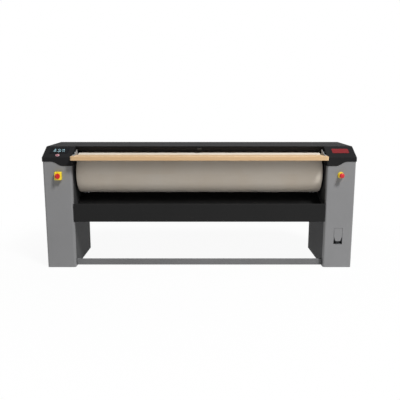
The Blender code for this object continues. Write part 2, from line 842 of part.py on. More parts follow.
def hood():
    """The cover between the columns with its dark front edge, the rear beam and the rear cover."""
    half = INNER_X - COVER_PROUD - HOOD_SEAM
    lip = CREASE_Y + HOOD_LEAN
    path = rounded_path([
        (lip + HOOD_LIP_DEPTH, HOOD_LIP_HEIGHT),
        (lip, HOOD_LIP_HEIGHT),
        (CREASE_Y, CREASE_HEIGHT),
        (COVER_REAR, TOP_HEIGHT),
        (COVER_REAR, HOOD_REAR_EDGE),
    ], HOOD_BEND)
    folded_sheet("hood_cover", path, (-half, half), "X", HOOD_SHEET, "black_paint", grow=-1)
    reach = INNER_X - SEAT_GAP
    beam_top = OGEE_INNER_HEIGHT - SEAT_GAP
    block("rear_beam", (-reach, reach), (BEAM_REAR - BEAM_DEPTH, BEAM_REAR),
          (beam_top - BEAM_HEIGHT, beam_top), "frame_paint")
    top = CREASE_HEIGHT - HOOD_SHEET - REAR_COVER_GAP
    holes = []
    for share in MIDDLE_VENT_SHARES:
        holes += vent_slots(share * half, beam_top - BEAM_HEIGHT)
    plate("rear_cover", rectangle((-half, half), (REAR_COVER_BOTTOM, top)), (REAR_Y - SHEET, REAR_Y), "Y",
          "black_paint", holes)
    fascia = axis_empty("fascia_middle", (0, (CREASE_Y + lip) / 2, (CREASE_HEIGHT + HOOD_LIP_HEIGHT) / 2),
                        (math.atan2(HOOD_LEAN, HOOD_LIP_DROP), 0, 0))
    sensor = block("feed_sensor", around(0, SENSOR_WIDTH), (-SEAT_GAP - SENSOR_DEPTH, -SEAT_GAP),
                   around(0, SENSOR_HEIGHT), "black_plastic", parent=fascia)
    bevel(sensor, SENSOR_ROUND, 1)


def tray_and_base():
    """The linen tray's front, the slide that feeds it, and the base bar near the floor."""
    reach = INNER_X - SEAT_GAP
    lip = FRONT_Y + TRAY_LIP
    path = rounded_path([
        (lip, TRAY_TOP - TRAY_LIP_DROP),
        (lip, TRAY_TOP),
        (FRONT_Y, TRAY_TOP),
        (FRONT_Y, TRAY_BOTTOM),
        (FRONT_Y + TRAY_FOOT, TRAY_BOTTOM),
    ], TRAY_BEND)
    folded_sheet("linen_tray", path, (-reach, reach), "X", SHEET, "tray_black")
    front = FRONT_Y + SHEET + SEAT_GAP
    rear = FRONT_Y + SLIDE_REAR_SETBACK
    path = rounded_path([
        (front, SLIDE_FRONT_HEIGHT + SLIDE_UPSTAND),
        (front, SLIDE_FRONT_HEIGHT),
        (rear, SLIDE_REAR_HEIGHT),
        (rear, SLIDE_REAR_HEIGHT - SLIDE_DROP),
    ], SLIDE_BEND)
    folded_sheet("linen_slide", path, (-reach, reach), "X", SLIDE_SHEET, "tray_black", grow=-1)
    front = FRONT_Y + BASE_SETBACK
    path = rounded_path([
        (front + BASE_DEPTH, BASE_BOTTOM),
        (front, BASE_BOTTOM),
        (front, BASE_BOTTOM + BASE_HEIGHT),
        (front + BASE_DEPTH, BASE_BOTTOM + BASE_HEIGHT),
    ], BASE_BEND)
    folded_sheet("base_bar", path, (-reach, reach), "X", BASE_SHEET, "grey_paint", grow=-1)


def roller():
    """The roller: a steel tube in its padding, with an end and a journal on each side."""
    axis = axis_empty("roller_axis", (0, ROLLER_Y, ROLLER_HEIGHT))
    core = ROLLER_RADIUS - PADDING
    half = ROLLER_LENGTH / 2
    padding = []
    for along, start in ((half - PADDING_ROUND, math.pi / 2), (PADDING_ROUND - half, 0)):
        for step in range(BEND_STEPS + 1):
            angle = start - math.pi / 2 * step / BEND_STEPS
            radius = ROLLER_RADIUS - PADDING_ROUND + PADDING_ROUND * math.cos(angle)
            padding.append((radius, along + PADDING_ROUND * math.sin(angle)))
    padding += [(core + SEAT_GAP, -half), (core + SEAT_GAP, half)]
    turned("roller_padding", padding, "X", "padding_cloth", FINE_STEPS, parent=axis)
    tube = half - TUBE_INSET
    turned("roller_tube", ring(core, core - TUBE_WALL, -tube, tube), "X", "zinc_steel", FINE_STEPS,
           parent=axis)
    disc = tube - DISC_INSET
    rim = core - TUBE_WALL - SEAT_GAP
    bearing_end = WALL_X + SEAT_GAP + BEARING_BOSS
    for side, tip in ((-1, bearing_end + JOURNAL_SPARE), (1, GEAR_X + GEAR_WIDTH + JOURNAL_SPARE)):
        profile = [
            (0, tip),
            (JOURNAL_RADIUS, tip),
            (JOURNAL_RADIUS, disc + HUB_LENGTH),
            (HUB_RADIUS, disc + HUB_LENGTH),
            (HUB_RADIUS, disc),
            (rim, disc),
            (rim, disc - DISC_THICKNESS),
            (0, disc - DISC_THICKNESS),
        ]
        turned(f"{name_of(side)}_roller_end", facing(side, profile), "X", "zinc_steel", parent=axis)
        flange = WALL_X + SEAT_GAP
        bore = JOURNAL_RADIUS + RUNNING_GAP
        profile = [
            (BEARING_BOSS_RADIUS, flange + BEARING_BOSS),
            (BEARING_BOSS_RADIUS, flange + BEARING_FLANGE),
            (BEARING_FLANGE_RADIUS, flange + BEARING_FLANGE),
            (BEARING_FLANGE_RADIUS, flange),
            (bore, flange),
            (bore, flange + BEARING_BOSS),
        ]
        turned(f"{name_of(side)}_bearing", facing(side, profile), "X", "cast_iron",
               at=(0, ROLLER_Y, ROLLER_HEIGHT))
    return axis


def involute(angle):
    """The involute function that sets how a tooth narrows."""
    return math.tan(angle) - angle


def gear_outline(teeth, first_angle):
    """A spur gear's outline with involute flanks; the first tooth points along first_angle."""
    pitch = MODULE * teeth / 2
    base = pitch * math.cos(PRESSURE_ANGLE)
    tip = pitch + MODULE * ADDENDUM_SHARE
    root = pitch - MODULE * DEDENDUM_SHARE
    half = math.pi / (2 * teeth) - BACKLASH / (2 * pitch)
    radii = [root, max(base, root + (pitch - root) / 4), pitch, tip]
    if base < root:
        radii = [root, pitch, tip]
    flank = []
    for radius in radii:
        angle = math.acos(min(base / radius, 1))
        flank.append((radius, half + involute(PRESSURE_ANGLE) - involute(angle)))
    points = []
    for tooth in range(teeth):
        middle = first_angle + 2 * math.pi * tooth / teeth
        for radius, width in flank:
            points.append((radius * math.cos(middle - width), radius * math.sin(middle - width)))
        for radius, width in reversed(flank):
            points.append((radius * math.cos(middle + width), radius * math.sin(middle + width)))
    return points


def drive(roller_axis):
    """The large gear on the roller, and the pinion, gearbox and motor that turn it."""
    wide = (GEAR_X, GEAR_X + GEAR_WIDTH)
    holes = [circle((0, 0), JOURNAL_RADIUS + SEAT_GAP, ROUND_STEPS)]
    for index in range(GEAR_HOLES):
        angle = 2 * math.pi * index / GEAR_HOLES
        middle = (GEAR_HOLE_CIRCLE * math.cos(angle), GEAR_HOLE_CIRCLE * math.sin(angle))
        holes.append(circle(middle, GEAR_HOLE_RADIUS, SMALL_STEPS))
    plate("roller_gear", gear_outline(GEAR_TEETH, -math.pi / 2), wide, "X", "cast_iron", holes,
          parent=roller_axis)
    axis = axis_empty("pinion_axis", (0, ROLLER_Y, PINION_HEIGHT))
    outline = gear_outline(PINION_TEETH, math.pi / 2 + math.pi / PINION_TEETH)
    ends = (wide[0] - PINION_OVERLAP, wide[1] + PINION_OVERLAP)
    pinion = plate("drive_pinion", outline, ends, "X", "zinc_steel", parent=axis)
    gearbox_x = BRACKET_X + BRACKET_PLATE + SEAT_GAP
    tail = gearbox_x + GEARBOX_WIDTH / 2
    weld(pinion, turned("pinion_shaft", cylinder(PINION_SHAFT_RADIUS, ends[1] - PINION_OVERLAP, tail), "X",
                        None, SMALL_STEPS, parent=axis))
    front = FRONT_Y + PANEL_RETURN + SEAT_GAP
    bracket = rectangle((front + RAIL + SEAT_GAP, BEAM_REAR - RAIL - SEAT_GAP),
                        around(PINION_HEIGHT, BRACKET_HEIGHT))
    bore = circle((ROLLER_Y, PINION_HEIGHT), PINION_SHAFT_RADIUS + RUNNING_GAP, SMALL_STEPS)
    plate("drive_bracket", bracket, (BRACKET_X, BRACKET_X + BRACKET_PLATE), "X", "zinc_steel", [bore])
    y = around(ROLLER_Y + GEARBOX_SHIFT, GEARBOX_DEPTH)
    z = around(PINION_HEIGHT, GEARBOX_HEIGHT)
    gearbox = block("gearbox", (gearbox_x, gearbox_x + GEARBOX_WIDTH), y, z, "cast_iron")
    bevel(gearbox, GEARBOX_ROUND)
    hollow = cylinder(PINION_SHAFT_RADIUS + RUNNING_GAP, gearbox_x - OVERRUN, tail + OVERRUN)
    cut(gearbox, turned("gearbox_bore", hollow, "X", None, SMALL_STEPS, at=(0, ROLLER_Y, PINION_HEIGHT)))
    motor(gearbox_x + GEARBOX_WIDTH / 2, ROLLER_Y + MOTOR_OFFSET, z[0] - SEAT_GAP)


def motor(x, y, top):
    """The motor that hangs under the gearbox: a finned body with its cowl and terminal box."""
    outline = []
    for fin in range(MOTOR_FINS):
        middle = 2 * math.pi * fin / MOTOR_FINS
        quarter = math.pi / MOTOR_FINS / 2
        for radius, angle in ((MOTOR_RADIUS, middle - quarter), (MOTOR_RADIUS + MOTOR_FIN, middle - quarter),
                              (MOTOR_RADIUS + MOTOR_FIN, middle + quarter), (MOTOR_RADIUS, middle + quarter)):
            outline.append((x + radius * math.cos(angle), y + radius * math.sin(angle)))
    neck = top - MOTOR_NECK
    bottom = neck - MOTOR_LENGTH
    body = plate("drive_motor", outline, (bottom, neck), "Z", "motor_grey")
    neck_solid = turned("motor_neck", cylinder(MOTOR_NECK_RADIUS, neck - OVERRUN, top), "Z", None,
                        at=(x, y, 0))
    rim = MOTOR_RADIUS + MOTOR_FIN + SHEET
    high = bottom + OVERRUN
    low = bottom - COWL_LENGTH
    profile = [(0, high), (rim, high), (rim, low + COWL_ROUND), (rim - COWL_ROUND, low), (0, low)]
    cowl = turned("motor_cowl", profile, "Z", None, at=(x, y, 0))
    box = block("terminal_box", around(x, TERMINAL_WIDTH),
                (y + MOTOR_RADIUS - OVERRUN, y + rim + TERMINAL_DEPTH),
                around((neck + bottom) / 2, TERMINAL_HEIGHT), None)
    for shape in (neck_solid, cowl, box):
        weld(body, shape, "MANIFOLD")


def chest():
    """The heated chest with what it carries, drawn pressed on the roller and then laid back."""
    pivot = axis_empty("chest_pivot", (0, PIVOT_Y, PIVOT_HEIGHT), (-CHEST_OPENING, 0, 0))
    centre = Vector((ROLLER_Y - PIVOT_Y, ROLLER_HEIGHT - PIVOT_HEIGHT))
    half = ROLLER_LENGTH / 2
    bed = arc(centre, CHEST_RADIUS, CHEST_TOP_ANGLE, CHEST_BOTTOM_ANGLE, CHEST_STEPS)
    top_lip = Vector(bed[0]) + chest_lip(CHEST_TOP_ANGLE + math.pi / 2 - CHEST_LIP_ANGLE)
    low_lip = Vector(bed[-1]) + chest_lip(CHEST_BOTTOM_ANGLE - math.pi / 2 + CHEST_LIP_ANGLE)
    folded_sheet("heated_chest", [top_lip, *bed, low_lip], (-half, half), "X", CHEST_THICKNESS,
                 "polished_steel", parent=pivot)
    heating_element(pivot, centre)
    rib_frame(pivot, centre)
    start = CHEST_TOP_ANGLE * CHEST_COVER_REACH_SHARE
    end = CHEST_BOTTOM_ANGLE * CHEST_COVER_REACH_SHARE
    shell = CHEST_BACK + RIB_DEPTH + CHEST_COVER_GAP
    seat = CHEST_BACK + SEAT_GAP
    path = [*arc(centre, seat, start, start, 1)[:1], *arc(centre, shell, start, end, CHEST_STEPS // 2),
            *arc(centre, seat, end, end, 1)[:1]]
    folded_sheet("chest_cover", path, (-half, half), "X", SHEET, "zinc_steel", grow=-1, parent=pivot)
    for side in (-1, 1):
        chest_arm(side, pivot, centre, half + SEAT_GAP)
    far = (WALL_X + BUSH_LENGTH, -(INNER_X + LEVER_OFFSET + LEVER_THICKNESS + SHAFT_SPARE))
    turned("chest_shaft", ring(SHAFT_RADIUS, SHAFT_RADIUS - SHAFT_WALL, *far), "X", "zinc_steel",
           parent=pivot)
    chest_lever(pivot)
    bushes()
    return pivot


def chest_lip(angle):
    """The flare of a lip of the chest."""
    return Vector((math.cos(angle), math.sin(angle))) * CHEST_LIP


def element_angles():
    """Where the runs of the heating element lie, evenly along the chest's back."""
    step = (CHEST_TOP_ANGLE - CHEST_BOTTOM_ANGLE) / (ELEMENT_RUNS + 1)
    return [CHEST_BOTTOM_ANGLE + step * (run + 1) for run in range(ELEMENT_RUNS)]


def heating_element(pivot, centre):
    """One tube that snakes to and fro along the chest's back."""
    angles = element_angles()
    radius = CHEST_BACK + SEAT_GAP + ELEMENT_RADIUS
    bend = (angles[1] - angles[0]) / 2
    straight = ROLLER_LENGTH / 2 - ELEMENT_INSET - radius * bend
    route = [(-straight, angles[0])]
    for run, angle in enumerate(angles):
        way = 1 if run % 2 == 0 else -1
        if run:
            route += [(-way * (straight + radius * bend * math.sin(math.pi * step / ELEMENT_BEND_STEPS)),
                       angle - bend - bend * math.cos(math.pi * step / ELEMENT_BEND_STEPS))
                      for step in range(1, ELEMENT_BEND_STEPS)]
            route.append((-way * straight, angle))
        route.append((way * straight, angle))
    points = [(x, centre.x + radius * math.cos(a), centre.y + radius * math.sin(a)) for x, a in route]
    wire("heating_element", points, ELEMENT_RADIUS, "zinc_steel", pivot)


def rib_frame(pivot, centre):
    """Curved ribs across the chest's back, joined by a bar along it."""
    angles = element_angles()
    half = ROLLER_LENGTH / 2 - RIB_INSET
    ribs = None
    for index in range(RIB_COUNT):
        x = half * (2 * index / (RIB_COUNT - 1) - 1)
        material = "zinc_steel" if ribs is None else None
        name = "chest_ribs" if ribs is None else f"chest_rib_{index}"
        rib = plate(name, rib_outline(centre, angles), around(x, RIB_THICKNESS), "X", material, parent=pivot)
        if ribs is None:
            ribs = rib
        else:
            weld(ribs, rib)
    bar = CHEST_BACK + SEAT_GAP + RIB_DEPTH - RIB_BAR / 2 - SHEET
    middle = (angles[2] + angles[3]) / 2
    y = around(centre.x + bar * math.cos(middle), RIB_BAR)
    z = around(centre.y + bar * math.sin(middle), RIB_BAR)
    weld(ribs, block("chest_rib_bar", (-half, half), y, z, None, parent=pivot))


def wire(name, points, radius, material, parent):
    """A round tube along a route."""
    curve = bpy.data.curves.new(name, "CURVE")
    curve.dimensions = "3D"
    curve.bevel_depth = radius
    curve.bevel_resolution = 2
    curve.use_fill_caps = True
    spline = curve.splines.new("POLY")
    spline.points.add(len(points) - 1)
    for point, place_at in zip(spline.points, points):
        point.co = (*place_at, 1)
    drawing = bpy.data.objects.new(name + "_drawing", curve)
    CUTTERS.objects.link(drawing)
    scene_graph = bpy.context.evaluated_depsgraph_get()
    mesh = bpy.data.meshes.new_from_object(drawing.evaluated_get(scene_graph))
    bpy.data.objects.remove(drawing)
    mesh.name = name
    return place(name, mesh, material, parent=parent)


def rib_outline(centre, angles):
    """A curved rib with a notch for each run of the heating element."""
    seat = CHEST_BACK + SEAT_GAP
    notch = seat + 2 * (ELEMENT_RADIUS + SEAT_GAP)
    half_notch = (ELEMENT_RADIUS + SEAT_GAP) / seat
    start = CHEST_BOTTOM_ANGLE * RIB_REACH_SHARE
    end = CHEST_TOP_ANGLE * RIB_REACH_SHARE
    step = (CHEST_TOP_ANGLE - CHEST_BOTTOM_ANGLE) / CHEST_STEPS
    bed = [CHEST_BOTTOM_ANGLE + step * index for index in range(CHEST_STEPS + 1)]
    polar = [(seat, angle) for angle in (start, *bed, end) if start <= angle <= end]
    for angle in angles:
        polar = [point for point in polar if abs(point[1] - angle) > half_notch]
        polar += [(seat, angle - half_notch), (notch, angle - half_notch),
                  (notch, angle + half_notch), (seat, angle + half_notch)]
    polar.sort(key=lambda point: point[1])
    inner = [(centre.x + r * math.cos(a), centre.y + r * math.sin(a)) for r, a in polar]
    return inner + arc(centre, seat + RIB_DEPTH, end, start, CHEST_STEPS // 2)


def chest_arm(side, pivot, centre, near):
    """The arm at one end of the chest, from the shaft up along the chest's end."""
    top = CHEST_TOP_ANGLE * ARM_REACH_SHARE
    bottom = CHEST_BOTTOM_ANGLE * ARM_REACH_SHARE
    hub = arc((0, 0), ARM_HUB_RADIUS, math.pi, 2 * math.pi, SMALL_STEPS // 2)
    outer = arc(centre, CHEST_BACK + ARM_DEPTH, bottom / 2, top, CHEST_STEPS // 4)
    inner = arc(centre, CHEST_RADIUS + SHEET, top, bottom, CHEST_STEPS // 2)
    bore = circle((0, 0), SHAFT_RADIUS + SEAT_GAP, ROUND_STEPS)
    span = sorted((side * near, side * (near + ARM_THICKNESS)))
    plate(f"{name_of(side)}_chest_arm", hub + outer + inner, span, "X", "zinc_steel", [bore], parent=pivot)


def link_outline(far, hub_radius, end_radius, steps=SMALL_STEPS):
    """A lever's outline: two round ends joined by their outer tangents."""
    distance = far.length
    heading = math.atan2(far.y, far.x)
    lean = math.acos((hub_radius - end_radius) / distance)
    hub = arc((0, 0), hub_radius, heading + lean, heading + 2 * math.pi - lean, steps)
    return hub + arc(far, end_radius, heading - lean, heading + lean, steps // 2)


def chest_lever(pivot):
    """The lever on the shaft in the left column, level halfway through its stroke, with its pin."""
    far = Vector((math.cos(CHEST_OPENING / 2), math.sin(CHEST_OPENING / 2))) * LEVER_LENGTH
    x = -(INNER_X + LEVER_OFFSET)
    outline = link_outline(far, LEVER_HUB_RADIUS, LEVER_END_RADIUS)
    bore = circle((0, 0), SHAFT_RADIUS + SEAT_GAP, ROUND_STEPS)
    lever = plate("chest_lever", outline, (x - LEVER_THICKNESS, x), "X", "zinc_steel", [bore], parent=pivot)
    reach = FORK_WALL + FORK_PLAY
    pin = cylinder(LEVER_PIN_RADIUS, x - LEVER_THICKNESS - reach, x + reach)
    weld(lever, turned("lever_pin", pin, "X", None, SMALL_STEPS, parent=pivot, at=(0, far.x, far.y)))


def bushes():
    """The two flanged bushes that the chest's shaft turns in."""
    for side in (-1, 1):
        outer = SHAFT_RADIUS + BUSH_WALL
        bore = SHAFT_RADIUS + RUNNING_GAP
        flange = WALL_X + SEAT_GAP
        profile = [
            (outer, flange + BUSH_LENGTH),
            (outer, flange + BUSH_FLANGE_THICKNESS),
            (outer + BUSH_FLANGE, flange + BUSH_FLANGE_THICKNESS),
            (outer + BUSH_FLANGE, flange),
            (outer, flange),
            (outer, INNER_X),
            (bore, INNER_X),
            (bore, flange + BUSH_LENGTH),
        ]
        turned(f"{name_of(side)}_chest_bush", facing(side, profile), "X", "brass",
               at=(0, PIVOT_Y, PIVOT_HEIGHT))


def actuator():
    """The linear actuator that lifts the lever, standing on a plate across the base rails."""
    x = -(INNER_X + LEVER_OFFSET + LEVER_THICKNESS / 2)
    y = PIVOT_Y + LEVER_LENGTH
    pin_z = PIVOT_HEIGHT - LEVER_LENGTH * math.sin(CHEST_OPENING / 2)
    axis = axis_empty("actuator_axis", (x, y, pin_z))
    wide = LEVER_THICKNESS + 2 * (FORK_PLAY + FORK_WALL)
    top = LEVER_END_RADIUS + FORK_PLAY
    fork = block("actuator_rod", around(0, wide), around(0, FORK_DEPTH), (top - FORK_HEIGHT, top),
                 "polished_steel", parent=axis)
    slot = block("fork_slot", around(0, LEVER_THICKNESS + 2 * FORK_PLAY), around(0, FORK_DEPTH + OVERRUN),
                 (top - FORK_SLOT_DEPTH, top + OVERRUN), None, parent=axis)
    cut(fork, slot)
    eye = cylinder(LEVER_PIN_RADIUS + FORK_PLAY, -wide, wide)
    cut(fork, turned("fork_eye", eye, "X", None, SMALL_STEPS, parent=axis))
    inside = ACTUATOR_TOP - ROD_DEPTH - pin_z
    rod = cylinder(ACTUATOR_ROD_RADIUS, inside, top - FORK_HEIGHT + OVERRUN)
    weld(fork, turned("rod_bar", rod, "Z", None, SMALL_STEPS, parent=axis))
    base = RAIL_BOTTOM + RAIL + SEAT_GAP
    bore = ACTUATOR_ROD_RADIUS + RUNNING_GAP
    deep = ACTUATOR_TOP - ROD_DEPTH - OVERRUN
    profile = [
        (0, deep),
        (bore, deep),
        (bore, ACTUATOR_TOP),
        (ACTUATOR_RADIUS, ACTUATOR_TOP),
        (ACTUATOR_RADIUS, base),
        (0, base),
    ]
    body = turned("actuator_body", profile, "Z", "motor_grey", at=(x, y, 0))
    ends = (-(WALL_X + SEAT_GAP), -(OUTER_X - SHEET - SEAT_GAP))
    weld(body, block("actuator_base", ends, around(y - RAIL, ACTUATOR_PLATE_DEPTH),
                     (base, base + ACTUATOR_PLATE), None))
    beside = x - ACTUATOR_RADIUS - ACTUATOR_MOTOR_RADIUS
    head = block("actuator_head", (x, beside - ACTUATOR_MOTOR_RADIUS), around(y, 2 * ACTUATOR_MOTOR_RADIUS),
                 (base, base + ACTUATOR_HEAD_HEIGHT), None)
    weld(body, head)
    drum = cylinder(ACTUATOR_MOTOR_RADIUS - SHEET, base + ACTUATOR_HEAD_HEIGHT - OVERRUN,
                    base + ACTUATOR_HEAD_HEIGHT + ACTUATOR_MOTOR_LENGTH)
    weld(body, turned("actuator_drum", drum, "Z", None, SMALL_STEPS, at=(beside, y, 0)))


def guard():
    """The finger guard: a wooden board on two brackets that swing on pins in the inner walls."""
    pivot_y = FRONT_Y + GUARD_SETBACK
    axis = axis_empty("guard_axis", (0, pivot_y, GUARD_HEIGHT))
    half = INNER_X - COVER_PROUD - BOARD_SIDE_GAP
    front = -BOARD_REACH - GUARD_SETBACK
    corners = rectangle((-half, half), (front, front + BOARD_DEPTH))
    top = BOARD_TOP - GUARD_HEIGHT
    board = plate("guard_board", rounded_loop(corners, BOARD_CORNER), (top - BOARD_THICKNESS, top), "Z",
                  "beech", parent=axis)
    bevel(board, BOARD_EDGE)
    foot_top = top + SEAT_GAP + GUARD_FOOT_THICKNESS
    for side in (-1, 1):
        word = name_of(side)
        outer = half - GUARD_PLATE_GAP
        apex = top + GUARD_APEX_RISE - GUARD_APEX_RADIUS
        outline = [
            (-GUARD_FRONT, top + SEAT_GAP),
            (GUARD_REAR, top + SEAT_GAP),
            *arc((0, apex), GUARD_APEX_RADIUS, 0, math.pi, SMALL_STEPS // 2),
        ]
        span = sorted((side * (outer - GUARD_PLATE), side * outer))
        bracket = plate(f"{word}_guard_bracket", outline, span, "X", "bracket_paint", parent=axis)
        foot = block(f"{word}_bracket_foot", (side * (outer - SEAT_GAP), side * (outer + GUARD_FOOT_WIDTH)),
                     (-GUARD_FOOT_FRONT, -GUARD_FOOT_REAR), (top + SEAT_GAP, foot_top), None, parent=axis)
        weld(bracket, foot)
        head = outer - GUARD_PLATE
        tail = WALL_X + GUARD_PIN_TAIL
        profile = [
            (0, tail),
            (GUARD_PIN_RADIUS, tail),
            (GUARD_PIN_RADIUS, head + GUARD_PLATE / 2),
            (GUARD_PIN_HEAD_RADIUS, head + GUARD_PLATE / 2),
            (GUARD_PIN_HEAD_RADIUS, head - GUARD_PIN_HEAD),
            (0, head - GUARD_PIN_HEAD),
        ]
        weld(bracket, turned(f"{word}_guard_pin", facing(side, profile), "X", None, SMALL_STEPS, parent=axis))


def main_switch():
    """The main switch on the left column: a box and the knob that turns on it."""
    x = -(INNER_X + SWITCH_CENTRE)
    back = FRONT_Y - SEAT_GAP
    face = FRONT_Y - SWITCH_BOX_DEPTH
    box = block("main_switch_box", around(x, SWITCH_BOX_WIDTH), (face, back),
                around(SWITCH_HEIGHT, SWITCH_BOX_HEIGHT), "yellow_plastic")
    bevel(box, SWITCH_BOX_ROUND)
    axis = axis_empty("switch_axis", (x, face, SWITCH_HEIGHT))
    near = -SEAT_GAP
    far = near - KNOB_BASE
    knob = turned("main_switch_knob", cylinder(KNOB_RADIUS, far, near), "Y", "red_plastic", parent=axis)
    grip = block("knob_grip", around(0, KNOB_GRIP_WIDTH), (far - KNOB_GRIP_HEIGHT, far + KNOB_GRIP_OVERLAP),
                 around(0, 2 * (KNOB_RADIUS - KNOB_GRIP_OVERLAP)), None, parent=axis)
    weld(knob, grip)


def emergency_stop():
    """The emergency stop on the right column: a body through the panel, a stem and a head."""
    x = INNER_X + STOP_CENTRE
    axis = axis_empty("stop_axis", (x, FRONT_Y, STOP_HEIGHT))
    collar = STOP_COLLAR_HEIGHT
    back = SHEET + SEAT_GAP
    profile = [
        (0, back + STOP_BARREL_REACH),
        (STOP_BARREL_RADIUS, back + STOP_BARREL_REACH),
        (STOP_BARREL_RADIUS, -SEAT_GAP),
        (STOP_COLLAR_RADIUS, -SEAT_GAP),
        (STOP_COLLAR_RADIUS - STOP_COLLAR_TAPER, -collar),
        (0, -collar),
    ]
    body = turned("emergency_stop_body", profile, "Y", "yellow_plastic", at=(x, FRONT_Y, STOP_HEIGHT))
    weld(body, block("stop_contacts", around(x, CONTACTS_WIDTH),
                     (FRONT_Y + back, FRONT_Y + back + CONTACTS_DEPTH),
                     around(STOP_HEIGHT, CONTACTS_HEIGHT), None))
    well = cylinder(STOP_STEM_RADIUS + RUNNING_GAP, -collar - OVERRUN,
                    STOP_STEM_INSIDE + STOP_TRAVEL + OVERRUN)
    cut(body, turned("stop_well", well, "Y", None, SMALL_STEPS, at=(x, FRONT_Y, STOP_HEIGHT)))
    turned("emergency_stop_stem", cylinder(STOP_STEM_RADIUS, -STOP_STEM_OUTSIDE, STOP_STEM_INSIDE), "Y",
           "zinc_steel", SMALL_STEPS, parent=axis)
    near = -STOP_STEM_OUTSIDE + STOP_HEAD_SOCKET
    far = near - STOP_HEAD_HEIGHT
    socket = -STOP_STEM_OUTSIDE - SEAT_GAP
    grip = STOP_STEM_RADIUS + SEAT_GAP
    profile = [
        (0, socket),
        (grip, socket),
        (grip, near),
        (STOP_HEAD_RADIUS - STOP_HEAD_SKIRT, near),
        (STOP_HEAD_RADIUS, near - STOP_HEAD_SKIRT),
    ]
    for step in range(DOME_STEPS):
        turn = math.pi / 2 * step / DOME_STEPS
        profile.append((STOP_HEAD_RADIUS * math.cos(turn), far + STOP_HEAD_DOME * (1 - math.sin(turn))))
    profile.append((0, far))
    turned("emergency_stop_head", profile, "Y", "red_plastic", parent=axis)


def slope_empty(name, x):
    """An empty at the ridge of a cover, with its Z square to the slope and its Y up it."""
    return axis_empty(name, (x, COVER_FRONT, RIDGE_HEIGHT), (SLOPE, 0, 0))


def control_panel(cover):
    """Display, push button and its ring on the left cover's slope."""
    panel = slope_empty("panel_slope", -INNER_X)
    x = around(-DISPLAY_CENTRE, DISPLAY_WIDTH)
    y = around(DISPLAY_RISE, DISPLAY_HEIGHT)
    window_x = (x[0] + WINDOW_BORDER, x[1] - WINDOW_BORDER)
    window_y = (y[0] + WINDOW_BORDER, y[1] - WINDOW_BORDER)
    outline = rounded_loop(rectangle(x, y), DISPLAY_ROUND)
    face = SEAT_GAP + DISPLAY_THICKNESS
    display = plate("display_panel", outline, (SEAT_GAP, face), "Z", "dark_glass", parent=panel)
    window = rounded_loop(rectangle(window_x, window_y), DISPLAY_ROUND / 2)
    cut(display, plate("display_pocket", window, (face - WINDOW_DEPTH, face + OVERRUN), "Z", None,
                       parent=panel))
    bore = BUTTON_RADIUS + RUNNING_GAP
    turned("button_ring", ring(BUTTON_RING_RADIUS, bore, SEAT_GAP, SEAT_GAP + BUTTON_RING_HEIGHT), "Z",
           "pale_plastic", parent=panel, at=(-BUTTON_CENTRE, BUTTON_RISE, 0))
    rise = Vector((0, math.cos(SLOPE), math.sin(SLOPE))) * BUTTON_RISE
    spot = Vector((-INNER_X - BUTTON_CENTRE, COVER_FRONT, RIDGE_HEIGHT)) + rise
    button = axis_empty("button_axis", spot, (SLOPE, 0, 0))
    turned("power_button", cylinder(BUTTON_RADIUS, -BUTTON_DEPTH, BUTTON_PROUD), "Z", "red_plastic",
           parent=button)
    hole = turned("button_hole", cylinder(bore, -COVER_WALL - OVERRUN, OVERRUN), "Z", None, parent=button)
    cut(cover, hole)


def badge():
    """The bare plate on the right cover's slope."""
    slope = slope_empty("badge_slope", INNER_X)
    x = around(BADGE_CENTRE, BADGE_WIDTH)
    outline = rounded_loop(rectangle(x, around(BADGE_RISE, BADGE_HEIGHT)), BADGE_ROUND)
    plate("badge_plate", outline, (SEAT_GAP, SEAT_GAP + BADGE_THICKNESS), "Z", "red_badge", parent=slope)


def pedal_opening():
    """The cutter of the pedal's opening in the right front panel."""
    x = around(INNER_X + PEDAL_CENTRE, PEDAL_WIDTH)
    return block("pedal_opening", x, (FRONT_Y - OVERRUN, FRONT_Y + OVERRUN),
                 (PEDAL_TOP - PEDAL_HEIGHT, PEDAL_TOP), None)


